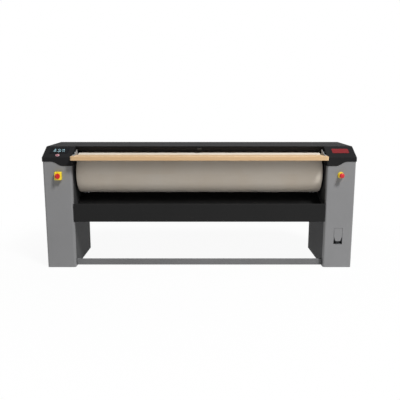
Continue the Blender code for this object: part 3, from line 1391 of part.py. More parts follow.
def pedal():
    """The foot pedal: a plate that swings inwards in its housing and works a small switch."""
    middle = INNER_X + PEDAL_CENTRE
    back = FRONT_Y + SHEET + SEAT_GAP
    bottom = PEDAL_TOP - PEDAL_HEIGHT
    x = around(middle, PEDAL_WIDTH)
    housing = block("pedal_housing", (x[0] - SHEET, x[1] + SHEET), (back, back + PEDAL_DEPTH),
                    (bottom - SHEET, PEDAL_TOP + SHEET), "black_plastic")
    cut(housing, block("pedal_hollow", x, (back - OVERRUN, back + PEDAL_DEPTH - SHEET),
                       (bottom, PEDAL_TOP), None))
    rear = back + PEDAL_DEPTH - SHEET / 2
    weld(housing, block("pedal_switch", around(middle, PEDAL_SWITCH_SIZE), (rear - PEDAL_SWITCH_DEPTH, rear),
                        (bottom - SHEET / 2, bottom + PEDAL_SWITCH_SIZE), None))
    at = (middle, FRONT_Y + PEDAL_AXIS_SETBACK, PEDAL_TOP - PEDAL_AXIS_DROP)
    pin_radius = PEDAL_PIN_RADIUS + SEAT_GAP
    eyes = cylinder(pin_radius, -PEDAL_WIDTH, PEDAL_WIDTH)
    cut(housing, turned("pedal_pin_eyes", eyes, "X", None, SMALL_STEPS, at=at))
    reach = PEDAL_WIDTH / 2 + SHEET
    turned("pedal_pin", cylinder(PEDAL_PIN_RADIUS, -reach, reach), "X", "zinc_steel", SMALL_STEPS, at=at)
    axis = axis_empty("pedal_axis", at)
    half = PEDAL_WIDTH / 2 - PEDAL_SIDE_GAP
    top = PEDAL_AXIS_DROP - PEDAL_SIDE_GAP
    straight = top - PEDAL_LENGTH * PEDAL_STRAIGHT_SHARE
    tip = half * PEDAL_TIP_SHARE
    outline = [(-tip, top - PEDAL_LENGTH), (tip, top - PEDAL_LENGTH), (half, straight), (half, top),
               (-half, top), (-half, straight)]
    span = (-PEDAL_AXIS_SETBACK, PEDAL_PLATE - PEDAL_AXIS_SETBACK)
    pedal_plate = plate("pedal_plate", outline, span, "Y", "grey_paint", parent=axis)
    knuckle = around(0, KNUCKLE_LENGTH)
    weld(pedal_plate, turned("pedal_knuckle", cylinder(KNUCKLE_RADIUS, *knuckle), "X", None, SMALL_STEPS,
                             parent=axis))
    web = block("pedal_web", knuckle, (PEDAL_PLATE / 2 - PEDAL_AXIS_SETBACK, 0),
                around(0, KNUCKLE_RADIUS), None, parent=axis)
    weld(pedal_plate, web)
    bore = cylinder(PEDAL_PIN_RADIUS + RUNNING_GAP, -PEDAL_WIDTH / 2, PEDAL_WIDTH / 2)
    cut(pedal_plate, turned("pedal_bore", bore, "X", None, SMALL_STEPS, parent=axis))


def electrics():
    """The electrical plate on the left frame, its contactors, and the cable gland."""
    inside = OUTER_X - SHEET - SEAT_GAP - RAIL - SEAT_GAP
    y = around((FRONT_Y + PANEL_RETURN + BEAM_REAR) / 2, ELECTRIC_DEPTH)
    reach = (FRONT_Y + PANEL_RETURN + SEAT_GAP, BEAM_REAR)
    z = (ELECTRIC_BOTTOM, ELECTRIC_BOTTOM + ELECTRIC_HEIGHT)
    block("electrical_plate", (-(inside - ELECTRIC_PLATE), -inside), reach, z, "zinc_steel")
    face = inside - ELECTRIC_PLATE - SEAT_GAP
    length = CONTACTOR_COUNT * CONTACTOR_PITCH
    row = block("contactor_row", (-(face - CONTACTOR_RAIL), -face), around(sum(y) / 2, length),
                around(sum(z) / 2, CONTACTOR_RAIL_HEIGHT), "black_plastic")
    for index in range(CONTACTOR_COUNT):
        middle = sum(y) / 2 + (index - (CONTACTOR_COUNT - 1) / 2) * CONTACTOR_PITCH
        unit = block(f"contactor_{index}", (-(face - CONTACTOR_DEPTH), -(face - CONTACTOR_RAIL / 2)),
                     around(middle, CONTACTOR_WIDTH), around(sum(z) / 2, CONTACTOR_HEIGHT), None)
        weld(row, unit)
    x = -(WALL_X + OUTER_X - SHEET) / 2
    rim = REAR_Y + SEAT_GAP
    profile = [
        (GLAND_RADIUS, REAR_Y + REAR_REACH),
        (GLAND_NUT_RADIUS, REAR_Y + GLAND_NUT),
        (GLAND_NUT_RADIUS, rim),
        (GLAND_RADIUS, rim),
        (GLAND_RADIUS, REAR_Y - GLAND_INSIDE),
        (GLAND_BORE_RADIUS, REAR_Y - GLAND_INSIDE),
        (GLAND_BORE_RADIUS, REAR_Y + REAR_REACH),
    ]
    turned("cable_gland", profile, "Y", "black_plastic", SMALL_STEPS, at=(x, 0, GLAND_HEIGHT))


def build():
    """The whole machine."""
    covers = columns()
    hood()
    tray_and_base()
    drive(roller())
    chest()
    actuator()
    guard()
    main_switch()
    emergency_stop()
    control_panel(covers[-1])
    badge()
    pedal()
    electrics()


build()
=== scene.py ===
# %% [markdown]
# # Dressing a rotary ironer
#
# A rotary ironer presses linen between a padded roller and a heated steel bed. Its solids are
# already made and stand still as a frame. This lesson gives them their finishes, replaces the one
# soft piece, and adds the small hardware and the signs that a maker fits last.

# %% The frame and its box
import json
import math

import bmesh
import bpy
from mathutils import Matrix, Vector
from mathutils.bvhtree import BVHTree
from mathutils.geometry import tessellate_polygon


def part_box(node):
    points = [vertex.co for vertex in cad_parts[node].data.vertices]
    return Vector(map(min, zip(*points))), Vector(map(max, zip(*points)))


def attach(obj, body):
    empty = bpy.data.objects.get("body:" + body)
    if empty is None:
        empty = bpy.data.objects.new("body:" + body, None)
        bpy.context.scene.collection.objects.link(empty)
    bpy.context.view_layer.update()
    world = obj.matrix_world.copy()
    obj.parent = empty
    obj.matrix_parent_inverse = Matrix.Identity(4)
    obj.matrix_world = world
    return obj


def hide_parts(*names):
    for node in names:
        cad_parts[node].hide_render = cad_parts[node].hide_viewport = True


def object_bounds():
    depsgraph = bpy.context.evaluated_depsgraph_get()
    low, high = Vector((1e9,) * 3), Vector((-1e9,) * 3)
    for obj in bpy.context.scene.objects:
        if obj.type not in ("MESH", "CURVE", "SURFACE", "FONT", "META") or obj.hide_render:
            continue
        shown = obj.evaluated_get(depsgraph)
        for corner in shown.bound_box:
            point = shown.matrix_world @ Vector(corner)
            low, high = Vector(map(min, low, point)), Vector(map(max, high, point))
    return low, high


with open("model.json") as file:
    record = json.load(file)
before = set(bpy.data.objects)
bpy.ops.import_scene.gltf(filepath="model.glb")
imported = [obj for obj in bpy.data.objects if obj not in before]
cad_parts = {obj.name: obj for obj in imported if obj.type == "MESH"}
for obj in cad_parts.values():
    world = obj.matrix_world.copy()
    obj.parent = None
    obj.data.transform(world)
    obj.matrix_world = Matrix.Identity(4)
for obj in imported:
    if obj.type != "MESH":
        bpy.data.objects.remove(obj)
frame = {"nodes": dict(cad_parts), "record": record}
CAD_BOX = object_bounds()
print("the frame reaches from", *[tuple(round(v, 4) for v in corner) for corner in CAD_BOX])

# %% [markdown]
# ## The camera
#
# A camera is a focal length, a place and a tilt. The photograph was taken a little above the
# machine's top, looking down by about ten degrees, so the columns lean together towards the floor.
# A camera can be moved by eye until the picture looks right, but a longer lens from further off
# looks nearly the same. So these numbers were worked out from the machine's edges. The focal
# length is given in pixels of the photograph and turned into millimetres for a sensor of the
# usual width.

# %% The photograph's camera
PHOTO_WIDTH = 400
FOCAL_PIXELS = 520
SENSOR_WIDTH = 36
PIXELS_LEFT = 0.63
CAMERA_HEIGHT = 1.375
CAMERA_BACK = 4.521
CAMERA_DROP = math.radians(10.6)


def in_scene(name, data):
    """An object in the scene that shows a mesh, a camera, a lamp or text."""
    thing = bpy.data.objects.new(name, data)
    bpy.context.scene.collection.objects.link(thing)
    return thing


lens = bpy.data.cameras.new("camera")
lens.sensor_width = SENSOR_WIDTH
lens.lens = FOCAL_PIXELS * SENSOR_WIDTH / PHOTO_WIDTH
lens.shift_x = PIXELS_LEFT / PHOTO_WIDTH
camera = in_scene("camera", lens)
camera.location = (0, -CAMERA_BACK, CAMERA_HEIGHT)
camera.rotation_euler = (math.pi / 2 - CAMERA_DROP, 0, 0)
bpy.context.scene.camera = camera
bpy.context.scene.view_settings.view_transform = "Standard"
print("focal length", round(lens.lens, 1), "mm")

# %% [markdown]
# ## Writing nodes as sums
#
# A finish is a small calculation that runs for every point of a surface. It could be wired by
# hand in the shader editor, but written out node by node it gets long, so two small classes
# shorten it. A Wire is the end of a wire, and Python's own signs on it add Math nodes. A Bench
# holds one node tree and adds any other node with a single method: first the node's settings,
# then what goes into its sockets. The same pair serves shader trees and geometry trees.

# %% Wires and the bench
class Wire:
    """The end of a wire in a node tree."""

    def __init__(self, bench, socket):
        self.bench = bench
        self.socket = socket

    def also(self, name):
        """Another output of the same node."""
        return Wire(self.bench, self.socket.node.outputs[name])

    def maths(self, operation, *others):
        return self.bench.maths(operation, self, *others)

    def __add__(self, other):
        return self.maths("ADD", other)

    def __radd__(self, other):
        return self.maths("ADD", other)

    def __sub__(self, other):
        return self.maths("SUBTRACT", other)

    def __rsub__(self, other):
        return self.bench.maths("SUBTRACT", other, self)

    def __mul__(self, other):
        return self.maths("MULTIPLY", other)

    def __rmul__(self, other):
        return self.maths("MULTIPLY", other)

    def __lt__(self, other):
        return self.maths("LESS_THAN", other)

    def within(self, low, high):
        """0 below low, 1 above high, and even in between."""
        sockets = {0: self, 1: low, 2: high, 3: 0, 4: 1}
        return self.bench.node("ShaderNodeMapRange", {"clamp": True}, sockets)


class Bench:
    """One node tree, and the one method that adds any node to it."""

    def __init__(self, tree):
        self.tree = tree

    def node(self, kind, settings=None, sockets=None, out=0):
        made = self.tree.nodes.new(kind)
        for name, value in (settings or {}).items():
            setattr(made, name, value)
        for key, value in (sockets or {}).items():
            if isinstance(value, Wire):
                self.tree.links.new(value.socket, made.inputs[key])
            else:
                made.inputs[key].default_value = value
        return Wire(self, made.outputs[out])

    def maths(self, operation, *values):
        return self.node("ShaderNodeMath", {"operation": operation}, dict(enumerate(values)))

    def split(self, vector):
        """The three numbers of a vector."""
        return [self.node("ShaderNodeSeparateXYZ", None, {0: vector}, out) for out in range(3)]

    def join(self, x, y, z):
        return self.node("ShaderNodeCombineXYZ", None, {0: x, 1: y, 2: z})

    def mix(self, amount, first, second):
        """The first colour where the amount is 0, the second where it is 1."""
        sockets = {0: amount, 6: first, 7: second}
        return self.node("ShaderNodeMix", {"data_type": "RGBA"}, sockets, out=2)


# %% [markdown]
# ## A finish
#
# Every finish starts from the Principled shader. Its steady values, such as how metallic it is,
# are set on the sockets. A pattern could come from a picture wrapped round each part, but that
# needs a map of every surface and shows its seams. So patterns are worked out from Object
# coordinates, which are metres here: a scale of 800 makes marks a little over a millimetre apart.
# Colours are written as a paint chart gives them, from 0 to 255, and turned into the linear values
# that light adds up in.

# %% The finish class
def chart(red, green, blue):
    """A colour from a paint chart as linear light."""
    shares = [value / 255 for value in (red, green, blue)]
    linear = [s / 12.92 if s < 0.04045 else ((s + 0.055) / 1.055) ** 2.4 for s in shares]
    return (*linear, 1)


class Finish(Bench):
    """A material with its shader, its coordinates and its bumps."""

    def __init__(self, name, colour, roughness, metallic=0, **steady):
        self.material = bpy.data.materials.new(name)
        self.material.use_nodes = True
        super().__init__(self.material.node_tree)
        self.shader = self.tree.nodes["Principled BSDF"]
        self.shader.inputs["Base Color"].default_value = colour
        self.shader.inputs["Roughness"].default_value = roughness
        self.shader.inputs["Metallic"].default_value = metallic
        for name_of_socket, value in steady.items():
            self.shader.inputs[name_of_socket.replace("_", " ")].default_value = value
        self.where = self.node("ShaderNodeTexCoord", out=3)

    def feed(self, name, wire):
        self.tree.links.new(wire.socket, self.shader.inputs[name])

    def stretched(self, x, y, z, vector=None):
        """The coordinates with each axis scaled."""
        return self.node("ShaderNodeMapping", None, {0: vector or self.where, 3: (x, y, z)})

    def noise(self, scale, detail=3, roughness=0.5, vector=None):
        sockets = {"Vector": vector or self.where, "Scale": scale, "Detail": detail,
                   "Roughness": roughness}
        return self.node("ShaderNodeTexNoise", None, sockets)

    def cells(self, scale, vector=None, out=0):
        sockets = {"Vector": vector or self.where, "Scale": scale}
        return self.node("ShaderNodeTexVoronoi", None, sockets, out)

    def bump(self, height, depth):
        """A height from 0 to 1 that stands depth metres high."""
        normal = self.node("ShaderNodeBump", None, {"Height": height, "Distance": depth})
        self.feed("Normal", normal)


def scaled(colour, share):
    """A colour made darker or lighter."""
    return (*[value * share for value in colour[:3]], 1)


print("a mid grey of 128 is", round(chart(128, 128, 128)[0], 3), "in linear light")

# %% [markdown]
# ## Powder coat
#
# Powder coat is sprayed on dry and melted in an oven. It flows into a skin with a fine orange
# peel, and the textured kinds have a sandy grain. One noise would do from afar. Two make it hold
# up close to: a coarse one for the peel and a fine one for the grain. A third, very large and
# faint, is the unevenness of handling and dust that stops a big panel looking like plastic. Near
# the floor the paint is scuffed by shoes and mops, so a mask made from the height above the floor
# lets scuffs through there only.

# %% Powder coats
SCUFF_TOP = 0.16
PEEL_DEPTH = 0.00012


def powder_coat(name, colour, roughness, peel, grain, scuffed=False, **steady):
    """Paint whose peel and grain are given as marks per metre."""
    coat = Finish(name, colour, roughness, **steady)
    wide = coat.noise(2.2, 4)
    haze = coat.noise(35, 4, 0.7)
    tint = coat.mix(wide.within(0.3, 0.7), scaled(colour, 0.94), scaled(colour, 1.06))
    dull = roughness - 0.05 + 0.10 * haze
    if scuffed:
        height = coat.split(coat.where)[2]
        low = 1 - height.within(0, SCUFF_TOP)
        marks = coat.noise(1, 5, 0.6, coat.stretched(18, 18, 160)).within(0.62, 0.70)
        scuffs = low * marks
        tint = coat.mix(scuffs * 0.5, tint, scaled(colour, 0.55))
        dull = dull + 0.15 * scuffs
    coat.feed("Base Color", tint)
    coat.feed("Roughness", dull)
    skin = coat.noise(peel, 2) * 0.6 + coat.noise(grain, 2) * 0.4
    coat.bump(skin, PEEL_DEPTH)
    return coat.material


GREY = chart(130, 130, 131)
BLACK = chart(38, 38, 39)
TRAY_BLACK = chart(28, 28, 28)
# The inner walls' grey is darker than the columns' grey: painted shade on the same paint.
WALL_SHADE_GREY = chart(70, 70, 71)
# The base bar's grey is darker too: painted shade on the same paint.
BAR_SHADE_GREY = chart(116, 116, 117)
FINISHES = {
    "grey_paint": powder_coat("grey_powder_coat", GREY, 0.55, 260, 1100, scuffed=True),
    "black_paint": powder_coat("black_textured_coat", BLACK, 0.60, 420, 1500,
                               Specular_IOR_Level=0.02),
    "tray_black": powder_coat("tray_coat", TRAY_BLACK, 0.62, 300, 1300, Specular_IOR_Level=0.15),
    "wall_painted_shade": powder_coat("inner_wall_coat", WALL_SHADE_GREY, 0.62, 260, 1100, scuffed=True,
                              Specular_IOR_Level=0.1),
    "bar_painted_shade": powder_coat("base_bar_coat", BAR_SHADE_GREY, 0.60, 260, 1100, scuffed=True,
                             Specular_IOR_Level=0.2),
    "frame_paint": powder_coat("frame_primer", chart(92, 94, 96), 0.65, 180, 900),
    "bracket_paint": powder_coat("bracket_coat", chart(150, 150, 151), 0.50, 300, 1200),
    "motor_grey": powder_coat("motor_enamel", chart(120, 123, 128), 0.45, 140, 700),
}
print(len(FINISHES), "powder coats")

# %% [markdown]
# ## Bare metals
#
# Zinc freezes into flat crystals, the spangle, each turned a little differently. Voronoi cells
# carry one random value each, which shifts colour and roughness. Polished steel shows fine lines
# along the way it was ground. The shader can stretch its highlights for that, but real lines also
# show where no lamp is mirrored, so a noise is stretched along X instead. A casting keeps the
# grain of its sand mould, deep enough for bumps to show. Brass is turned on a lathe and tarnishes
# in patches.

# %% Zinc, steel, iron and brass
def zinc_plate():
    zinc = Finish("zinc_plate", chart(196, 198, 201), 0.38, metallic=1)
    spangle = zinc.split(zinc.cells(85, out=1))[0]
    scratches = zinc.noise(1, 3, 0.6, zinc.stretched(30, 900, 900))
    zinc.feed("Base Color", zinc.mix(spangle, chart(178, 181, 185), chart(206, 207, 209)))
    zinc.feed("Roughness", 0.28 + 0.16 * spangle + 0.10 * scratches)
    zinc.bump(scratches, depth=0.00003)
    return zinc.material


def polished_steel():
    bright = chart(214, 214, 215)
    steel = Finish("polished_steel", bright, 0.16, metallic=1)
    lines = steel.noise(1, 4, 0.6, steel.stretched(6, 1400, 1400))
    stain_and_underside_shade = steel.noise(9, 4).within(0.35, 0.75)
    steel.feed("Base Color", steel.mix(stain_and_underside_shade, bright, chart(206, 196, 180)))
    steel.feed("Roughness", 0.10 + 0.16 * lines)
    steel.bump(lines, depth=0.00002)
    return steel.material


def cast_iron():
    grey = chart(92, 94, 96)
    iron = Finish("cast_iron", grey, 0.7, metallic=0.6)
    sand = iron.noise(420, 4, 0.7)
    stain_and_underside_shade = iron.noise(28, 4).within(0.55, 0.75)
    iron.feed("Base Color", iron.mix(stain_and_underside_shade, grey, chart(84, 72, 62)))
    iron.feed("Roughness", 0.55 + 0.3 * sand)
    iron.bump(sand, depth=0.0004)
    return iron.material


def turned_brass():
    yellow = chart(214, 176, 108)
    brass = Finish("turned_brass", yellow, 0.3, metallic=1)
    tarnish = brass.noise(120, 4).within(0.45, 0.7)
    rings = brass.noise(1, 2, 0.5, brass.stretched(2600, 60, 60))
    brass.feed("Base Color", brass.mix(tarnish, yellow, chart(158, 118, 66)))
    brass.feed("Roughness", 0.22 + 0.25 * tarnish)
    brass.bump(rings, depth=0.00004)
    return brass.material


FINISHES["zinc_steel"] = zinc_plate()
FINISHES["polished_steel"] = polished_steel()
FINISHES["cast_iron"] = cast_iron()
FINISHES["brass"] = turned_brass()
print(len(FINISHES), "finishes so far")

# %% [markdown]
# ## Beech
#
# The guard board is a plank of steamed beech, sawn so that its grain runs along the roller. Beech
# is pale and even. What tells it from other woods is a scatter of short dark flecks, where the
# rays of the tree were cut. A wave texture gives rings quickly, but they look ruled. Here they
# come from a noise stretched far along X and bent slightly by a second noise, and the flecks from
# stretched cells. A thin lacquer is the shader's coat. The front face is painted darker than the
# top, which is painted shade. The underside is painted nearly black, a painted shade that also
# throws less light back onto the roller below.

# %% The beech board
FRONT_SHADE_FROM = 0.0008
FRONT_SHADE_TO = 0.005
UNDERSIDE_SHADE_FROM = 0.0003
UNDERSIDE_SHADE_TO = 0.0015


def lacquered_beech():
    pale = chart(244, 212, 169)
    warm = chart(230, 190, 141)
    beech = Finish("lacquered_beech", pale, 0.5, Coat_Weight=0.25, Coat_Roughness=0.25)
    x, y, z = beech.split(beech.where)
    drift = beech.noise(3, 2, 0.5, beech.stretched(0.7, 3, 3))
    along = beech.join(x * 1.1, (y + 0.03 * drift) * 55, (z + 0.03 * drift) * 55)
    rings = beech.noise(1, 3, 0.55, along)
    fibre = beech.noise(1, 4, 0.65, beech.stretched(22, 900, 900))
    flecks = beech.cells(1, beech.stretched(260, 1500, 1500)) < 0.16
    tint = beech.mix(rings.within(0.35, 0.65), pale, warm)
    tint = beech.mix(fibre.within(0.4, 0.8) * 0.35, tint, chart(205, 164, 116))
    tint = beech.mix(flecks * 0.45, tint, chart(168, 122, 78))
    front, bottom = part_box("guard_board")[0].yz
    # Within a few millimetres of the front the wood is painted darker: painted shade on the front
    # face.
    wear_and_front_shade = 1 - y.within(front + FRONT_SHADE_FROM, front + FRONT_SHADE_TO)
    tint = beech.mix(wear_and_front_shade * 0.5, tint, chart(176, 138, 92))
    # The underside is painted nearly black: painted shade under the board.
    underside_shade = 1 - z.within(bottom + UNDERSIDE_SHADE_FROM, bottom + UNDERSIDE_SHADE_TO)
    stain_and_underside_shade = beech.mix(rings, chart(38, 32, 28), chart(52, 43, 37))
    tint = beech.mix(underside_shade, tint, stain_and_underside_shade)
    beech.feed("Base Color", tint)
    beech.feed("Roughness", 0.42 + 0.2 * fibre)
    beech.bump(1 - fibre * 0.6 - flecks * 0.4, depth=0.00006)
    print("the board's front is at", round(front, 4), "and its underside at", round(bottom, 4))
    return beech.material


FINISHES["beech"] = lacquered_beech()

# %% [markdown]
# ## Plastics, glass and enamel
#
# Moulded switches have a faint spark-eroded grain and are glossier where fingers rub them. One
# recipe serves them all, because only their colour and gloss differ. The display window is dark
# glass over a black mask: very smooth, with faint wipe marks in its roughness. It could let light
# through, but there is nothing behind it to see. The plate on the right cover is enamel, a deep
# red that is more uneven than the plastics.

# %% Plastics, window and plate
def moulded(name, colour, roughness, wear=0.06, **steady):
    plastic = Finish(name, colour, roughness, **steady)
    wear_and_front_shade = plastic.noise(40, 4, 0.6)
    grain = plastic.noise(2200, 2)
    tint = plastic.mix(wear_and_front_shade, scaled(colour, 1 - wear), scaled(colour, 1 + wear))
    plastic.feed("Base Color", tint)
    plastic.feed("Roughness", roughness - 0.07 + 0.14 * wear_and_front_shade)
    plastic.bump(grain, depth=0.00003)
    return plastic.material


def window_glass():
    glass = Finish("window_glass", chart(12, 14, 18), 0.12, Specular_IOR_Level=0.04)
    wiped = glass.noise(1, 4, 0.6, glass.stretched(25, 90, 90))
    glass.feed("Base Color", glass.mix(wiped, chart(9, 11, 15), chart(16, 19, 24)))
    glass.feed("Roughness", 0.08 + 0.12 * wiped)
    glass.bump(wiped, depth=0.00001)
    return glass.material


FINISHES["yellow_plastic"] = moulded("yellow_plastic", chart(250, 220, 44), 0.38)
FINISHES["red_plastic"] = moulded("red_plastic", chart(205, 26, 34), 0.32)
FINISHES["black_plastic"] = moulded("black_plastic", chart(30, 30, 31), 0.45,
                                    Specular_IOR_Level=0.3)
FINISHES["pale_plastic"] = moulded("pale_plastic", chart(212, 168, 178), 0.35)
FINISHES["red_badge"] = moulded("red_enamel", chart(122, 13, 21), 0.34, wear=0.10,
                                Specular_IOR_Level=0.15)
FINISHES["button_red"] = moulded("button_red", chart(128, 16, 28), 0.35)
FINISHES["dark_glass"] = window_glass()
print(len(FINISHES), "finishes so far")

# %% [markdown]
# ## Roller cloth, the material
#
# The roller wears a heavy plain-weave cloth over its padding. Its pattern has to follow the
# cloth round the roller, so it reads the piece's own UV map, which holds metres along and around.
# Real threads would take millions of faces. Two sine waves across each other look the same from
# a step away: where one is up, the other is down. Two noises, one stretched each way, are the
# thick places in a thread that weavers call slubs. Slow bands of tint are the marks that hot work
# leaves.

# %% The weave
THREAD = 0.0011
SLUB_STRETCHES = ((25, 700, 1), (700, 25, 1))
WEAVE_DEPTH = 0.00025


def woven_cotton():
    base = chart(236, 226, 212)
    cloth = Finish("roller_cotton", base, 0.92, Sheen_Weight=0.25, Sheen_Roughness=0.5)
    uv = cloth.node("ShaderNodeUVMap", {"uv_map": "UVMap"})
    along, around_it, _ = cloth.split(uv)
    turn = 2 * math.pi / THREAD
    warp = (along * turn).maths("SINE")
    weft = (around_it * turn).maths("SINE")
    weave = (warp * weft) * 0.5 + 0.5
    slubs = [cloth.noise(1, 3, 0.6, cloth.stretched(*stretch, uv)) for stretch in SLUB_STRETCHES]
    slub = (slubs[0] + slubs[1]) * 0.5
    bands = cloth.noise(1, 3, 0.5, cloth.stretched(3.5, 1.2, 1, uv))
    worn = cloth.noise(6, 4, 0.6, uv)
    tint = cloth.mix(bands.within(0.35, 0.7) * 0.6, base, chart(229, 214, 194))
    tint = cloth.mix(slub.within(0.45, 0.7) * 0.25, tint, chart(210, 196, 176))
    # The hollows of the weave, where the bump is low, are painted darker: painted shade between the
    # threads.
    tint = cloth.mix((1 - weave) * 0.16, tint, chart(184, 170, 152))
    cloth.feed("Base Color", tint)
    cloth.feed("Roughness", 0.84 + 0.12 * worn)
    cloth.bump(weave * 0.7 + slub * 0.3, WEAVE_DEPTH)
    return cloth.material


FINISHES["padding_cloth"] = woven_cotton()
print("threads", round(THREAD * 1000, 2), "mm apart")

# %% [markdown]
# ## Tape, thread and light
#
# The tapes and stitches are too narrow for the cloth's map, so their cotton reads Object
# coordinates and has ribs across it. The display's signs give light of their own. Small lamps
# could stand behind them, but the shader's Emission Color does it with none, broken up into the
# fine dots of a display by two crossed sine waves.

# %% Tape and display light
DOT_PITCH = 0.0009


def cotton_tape():
    base = chart(234, 220, 201)
    tape = Finish("cotton_tape", base, 0.9, Sheen_Weight=0.2, Sheen_Roughness=0.5)
    ribs = (tape.split(tape.where)[0] * (2 * math.pi / THREAD)).maths("SINE") * 0.5 + 0.5
    worn = tape.noise(60, 4, 0.6)
    tape.feed("Base Color", tape.mix(worn.within(0.3, 0.8), base, chart(216, 198, 172)))
    tape.feed("Roughness", 0.82 + 0.12 * worn)
    tape.bump(ribs, depth=0.0002)
    return tape.material


def display_light():
    colour = chart(178, 222, 234)
    light = Finish("display_light", chart(70, 92, 98), 0.4, Emission_Strength=0.8)
    across, up, _ = light.split(light.where)
    turn = 2 * math.pi / DOT_PITCH
    dots = ((across * turn).maths("SINE") * (up * turn).maths("SINE")).within(-0.6, 0.2)
    light.feed("Emission Color", light.mix(dots, scaled(colour, 0.75), colour))
    light.feed("Roughness", 0.35 + 0.1 * light.noise(300, 2))
    return light.material


FINISHES["cotton_tape"] = cotton_tape()
FINISHES["display_light"] = display_light()
print(len(FINISHES), "finishes in all")

# %% [markdown]
# ## Dressing the solids
#
# The imported record says which slot each node takes its finish from, so one loop dresses them all.
# Only the material in the slot is changed: the solids keep their shape and place. A few nodes take
# a finish of their own. The two walls towards the roller and the base bar take darker greys than
# the columns, which is painted shade on the same paint. The bed's cover and the recess of the pedal
# are painted like the frames, and the push button is a deeper red than the switches.

# %% Finishes onto the nodes
OWN_FINISHES = {
    # The inner walls and the base bar take their painted shade greys here.
    "left_inner_wall": "wall_painted_shade",
    "right_inner_wall": "wall_painted_shade",
    "base_bar": "bar_painted_shade",
    "chest_cover": "frame_paint",
    "pedal_housing": "frame_paint",
    "power_button": "button_red",
}
for part in frame["record"]["subparts"]:
    thing = frame["nodes"][part["node"]]
    finish = FINISHES[OWN_FINISHES.get(part["node"], part["material_slot"])]
    if not thing.data.materials:
        thing.data.materials.append(finish)
    for index in range(len(thing.data.materials)):
        thing.data.materials[index] = finish
print("dressed", len(frame["nodes"]), "nodes")

# %% [markdown]
# ## Building pieces
#
# New pieces are meshes in the same metres as the frame, with their object at the origin. Blender's
# operators could build them, as a person does by hand, but an operator depends on what is selected
# just then. So a few helpers work on the data itself: they put a mesh into the scene, run a
# Geometry Nodes tree and keep its result as a plain mesh, and finish a mesh that was drawn point
# by point. A modifier's inputs are set through each socket's identifier, which stays the same
# whatever the socket is called.

# %% Piece helpers
SHARP_ANGLE = math.radians(40)
WELD = 0.000001


def new_piece(name, mesh, slot, body, finish=None):
    """A piece that rides on a body, with its slot's finish or one of its own."""
    mesh.name = name
    piece = in_scene(name, mesh)
    mesh.materials.clear()
    mesh.materials.append(FINISHES[finish or slot])
    mesh.shade_smooth()
    mesh.set_sharp_from_angle(angle=SHARP_ANGLE)
    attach(piece, body)
    return piece


def node_tree(name, inputs):
    """An empty geometry tree with named inputs, and its bench and input wires."""
    tree = bpy.data.node_groups.new(name, "GeometryNodeTree")
    for label, kind in inputs:
        tree.interface.new_socket(label, in_out="INPUT", socket_type=kind)
    tree.interface.new_socket("Geometry", in_out="OUTPUT", socket_type="NodeSocketGeometry")
    bench = Bench(tree)
    entry = tree.nodes.new("NodeGroupInput")
    wires = {label: Wire(bench, entry.outputs[label]) for label, _ in inputs}
    return bench, wires


def close_tree(bench, geometry, material):
    """End a tree in Realize Instances and Set Material."""
    real = bench.node("GeometryNodeRealizeInstances", None, {0: geometry})
    painted = bench.node("GeometryNodeSetMaterial", None, {"Geometry": real, "Material": material})
    last = bench.tree.nodes.new("NodeGroupOutput")
    bench.tree.links.new(painted.socket, last.inputs[0])


def as_mesh(thing):
    """What an object's modifiers or text come to, as a plain mesh. The object itself goes."""
    graph = bpy.context.evaluated_depsgraph_get()
    mesh = bpy.data.meshes.new_from_object(thing.evaluated_get(graph))
    bpy.data.objects.remove(thing)
    return mesh


def grown(tree, values, start=None):
    """Run a geometry tree on a mesh and return the result as a plain mesh."""
    seed = in_scene("seed", start or bpy.data.meshes.new("seed"))
    modifier = seed.modifiers.new("tree", "NODES")
    modifier.node_group = tree
    for item in tree.interface.items_tree:
        if item.item_type == "SOCKET" and item.in_out == "INPUT" and item.name in values:
            modifier[item.identifier] = values[item.name]
    return as_mesh(seed)


def drawn(model, name):
    """A mesh from points and faces drawn in Python, its faces turned outwards."""
    bmesh.ops.recalc_face_normals(model, faces=model.faces)
    mesh = bpy.data.meshes.new(name)
    model.to_mesh(mesh)
    model.free()
    return mesh


def triangles(mesh):
    return sum(len(face.vertices) - 2 for face in mesh.polygons)


# %% [markdown]
# ## The padded roller
#
# The roller's cloth is wound tight, folds over the edge of the padding and is gathered on a
# drawstring at each end. A cloth simulation would find no slack to work with. The shape follows a
# rule, so a tree makes it from a grid. One side of the grid runs from end to end, the other goes
# round. The run is cut into a straight stretch, a quarter circle over the padding's edge and a
# flat stretch towards the axle, each taken from the grid with a clamped share. The pleats of the
# gathered end grow towards the axle, and slow waves a fraction of a millimetre high show the
# layers below. The UV map is stored before the two edges of the grid are merged, so it stays
# continuous. The sheet then gets a thickness, which closes it.

# %% The roller cloth's tree
ROLLER_LOW, ROLLER_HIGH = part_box("roller_padding")
ROLLER_CENTRE = (ROLLER_LOW + ROLLER_HIGH) / 2
ROLLER_RADIUS = (ROLLER_HIGH.z - ROLLER_LOW.z) / 2
ROLLER_HALF = ROLLER_HIGH.x
EDGE_ROUND = 0.012
HEM_RADIUS = 0.124
STRAIGHT_SHARE = 0.6
EDGE_SHARE = 0.2
PLEATS = 44
PLEAT_DEPTH = 0.0016
PLEAT_SWELL = 0.0008
LAYER_WAVES = 0.0006
LAYER_WAVES_ALONG = 9
LAYER_WAVES_ROUND = 0.8
EDGE_MERGE = 0.00002
CLOTH_WALL = 0.0022


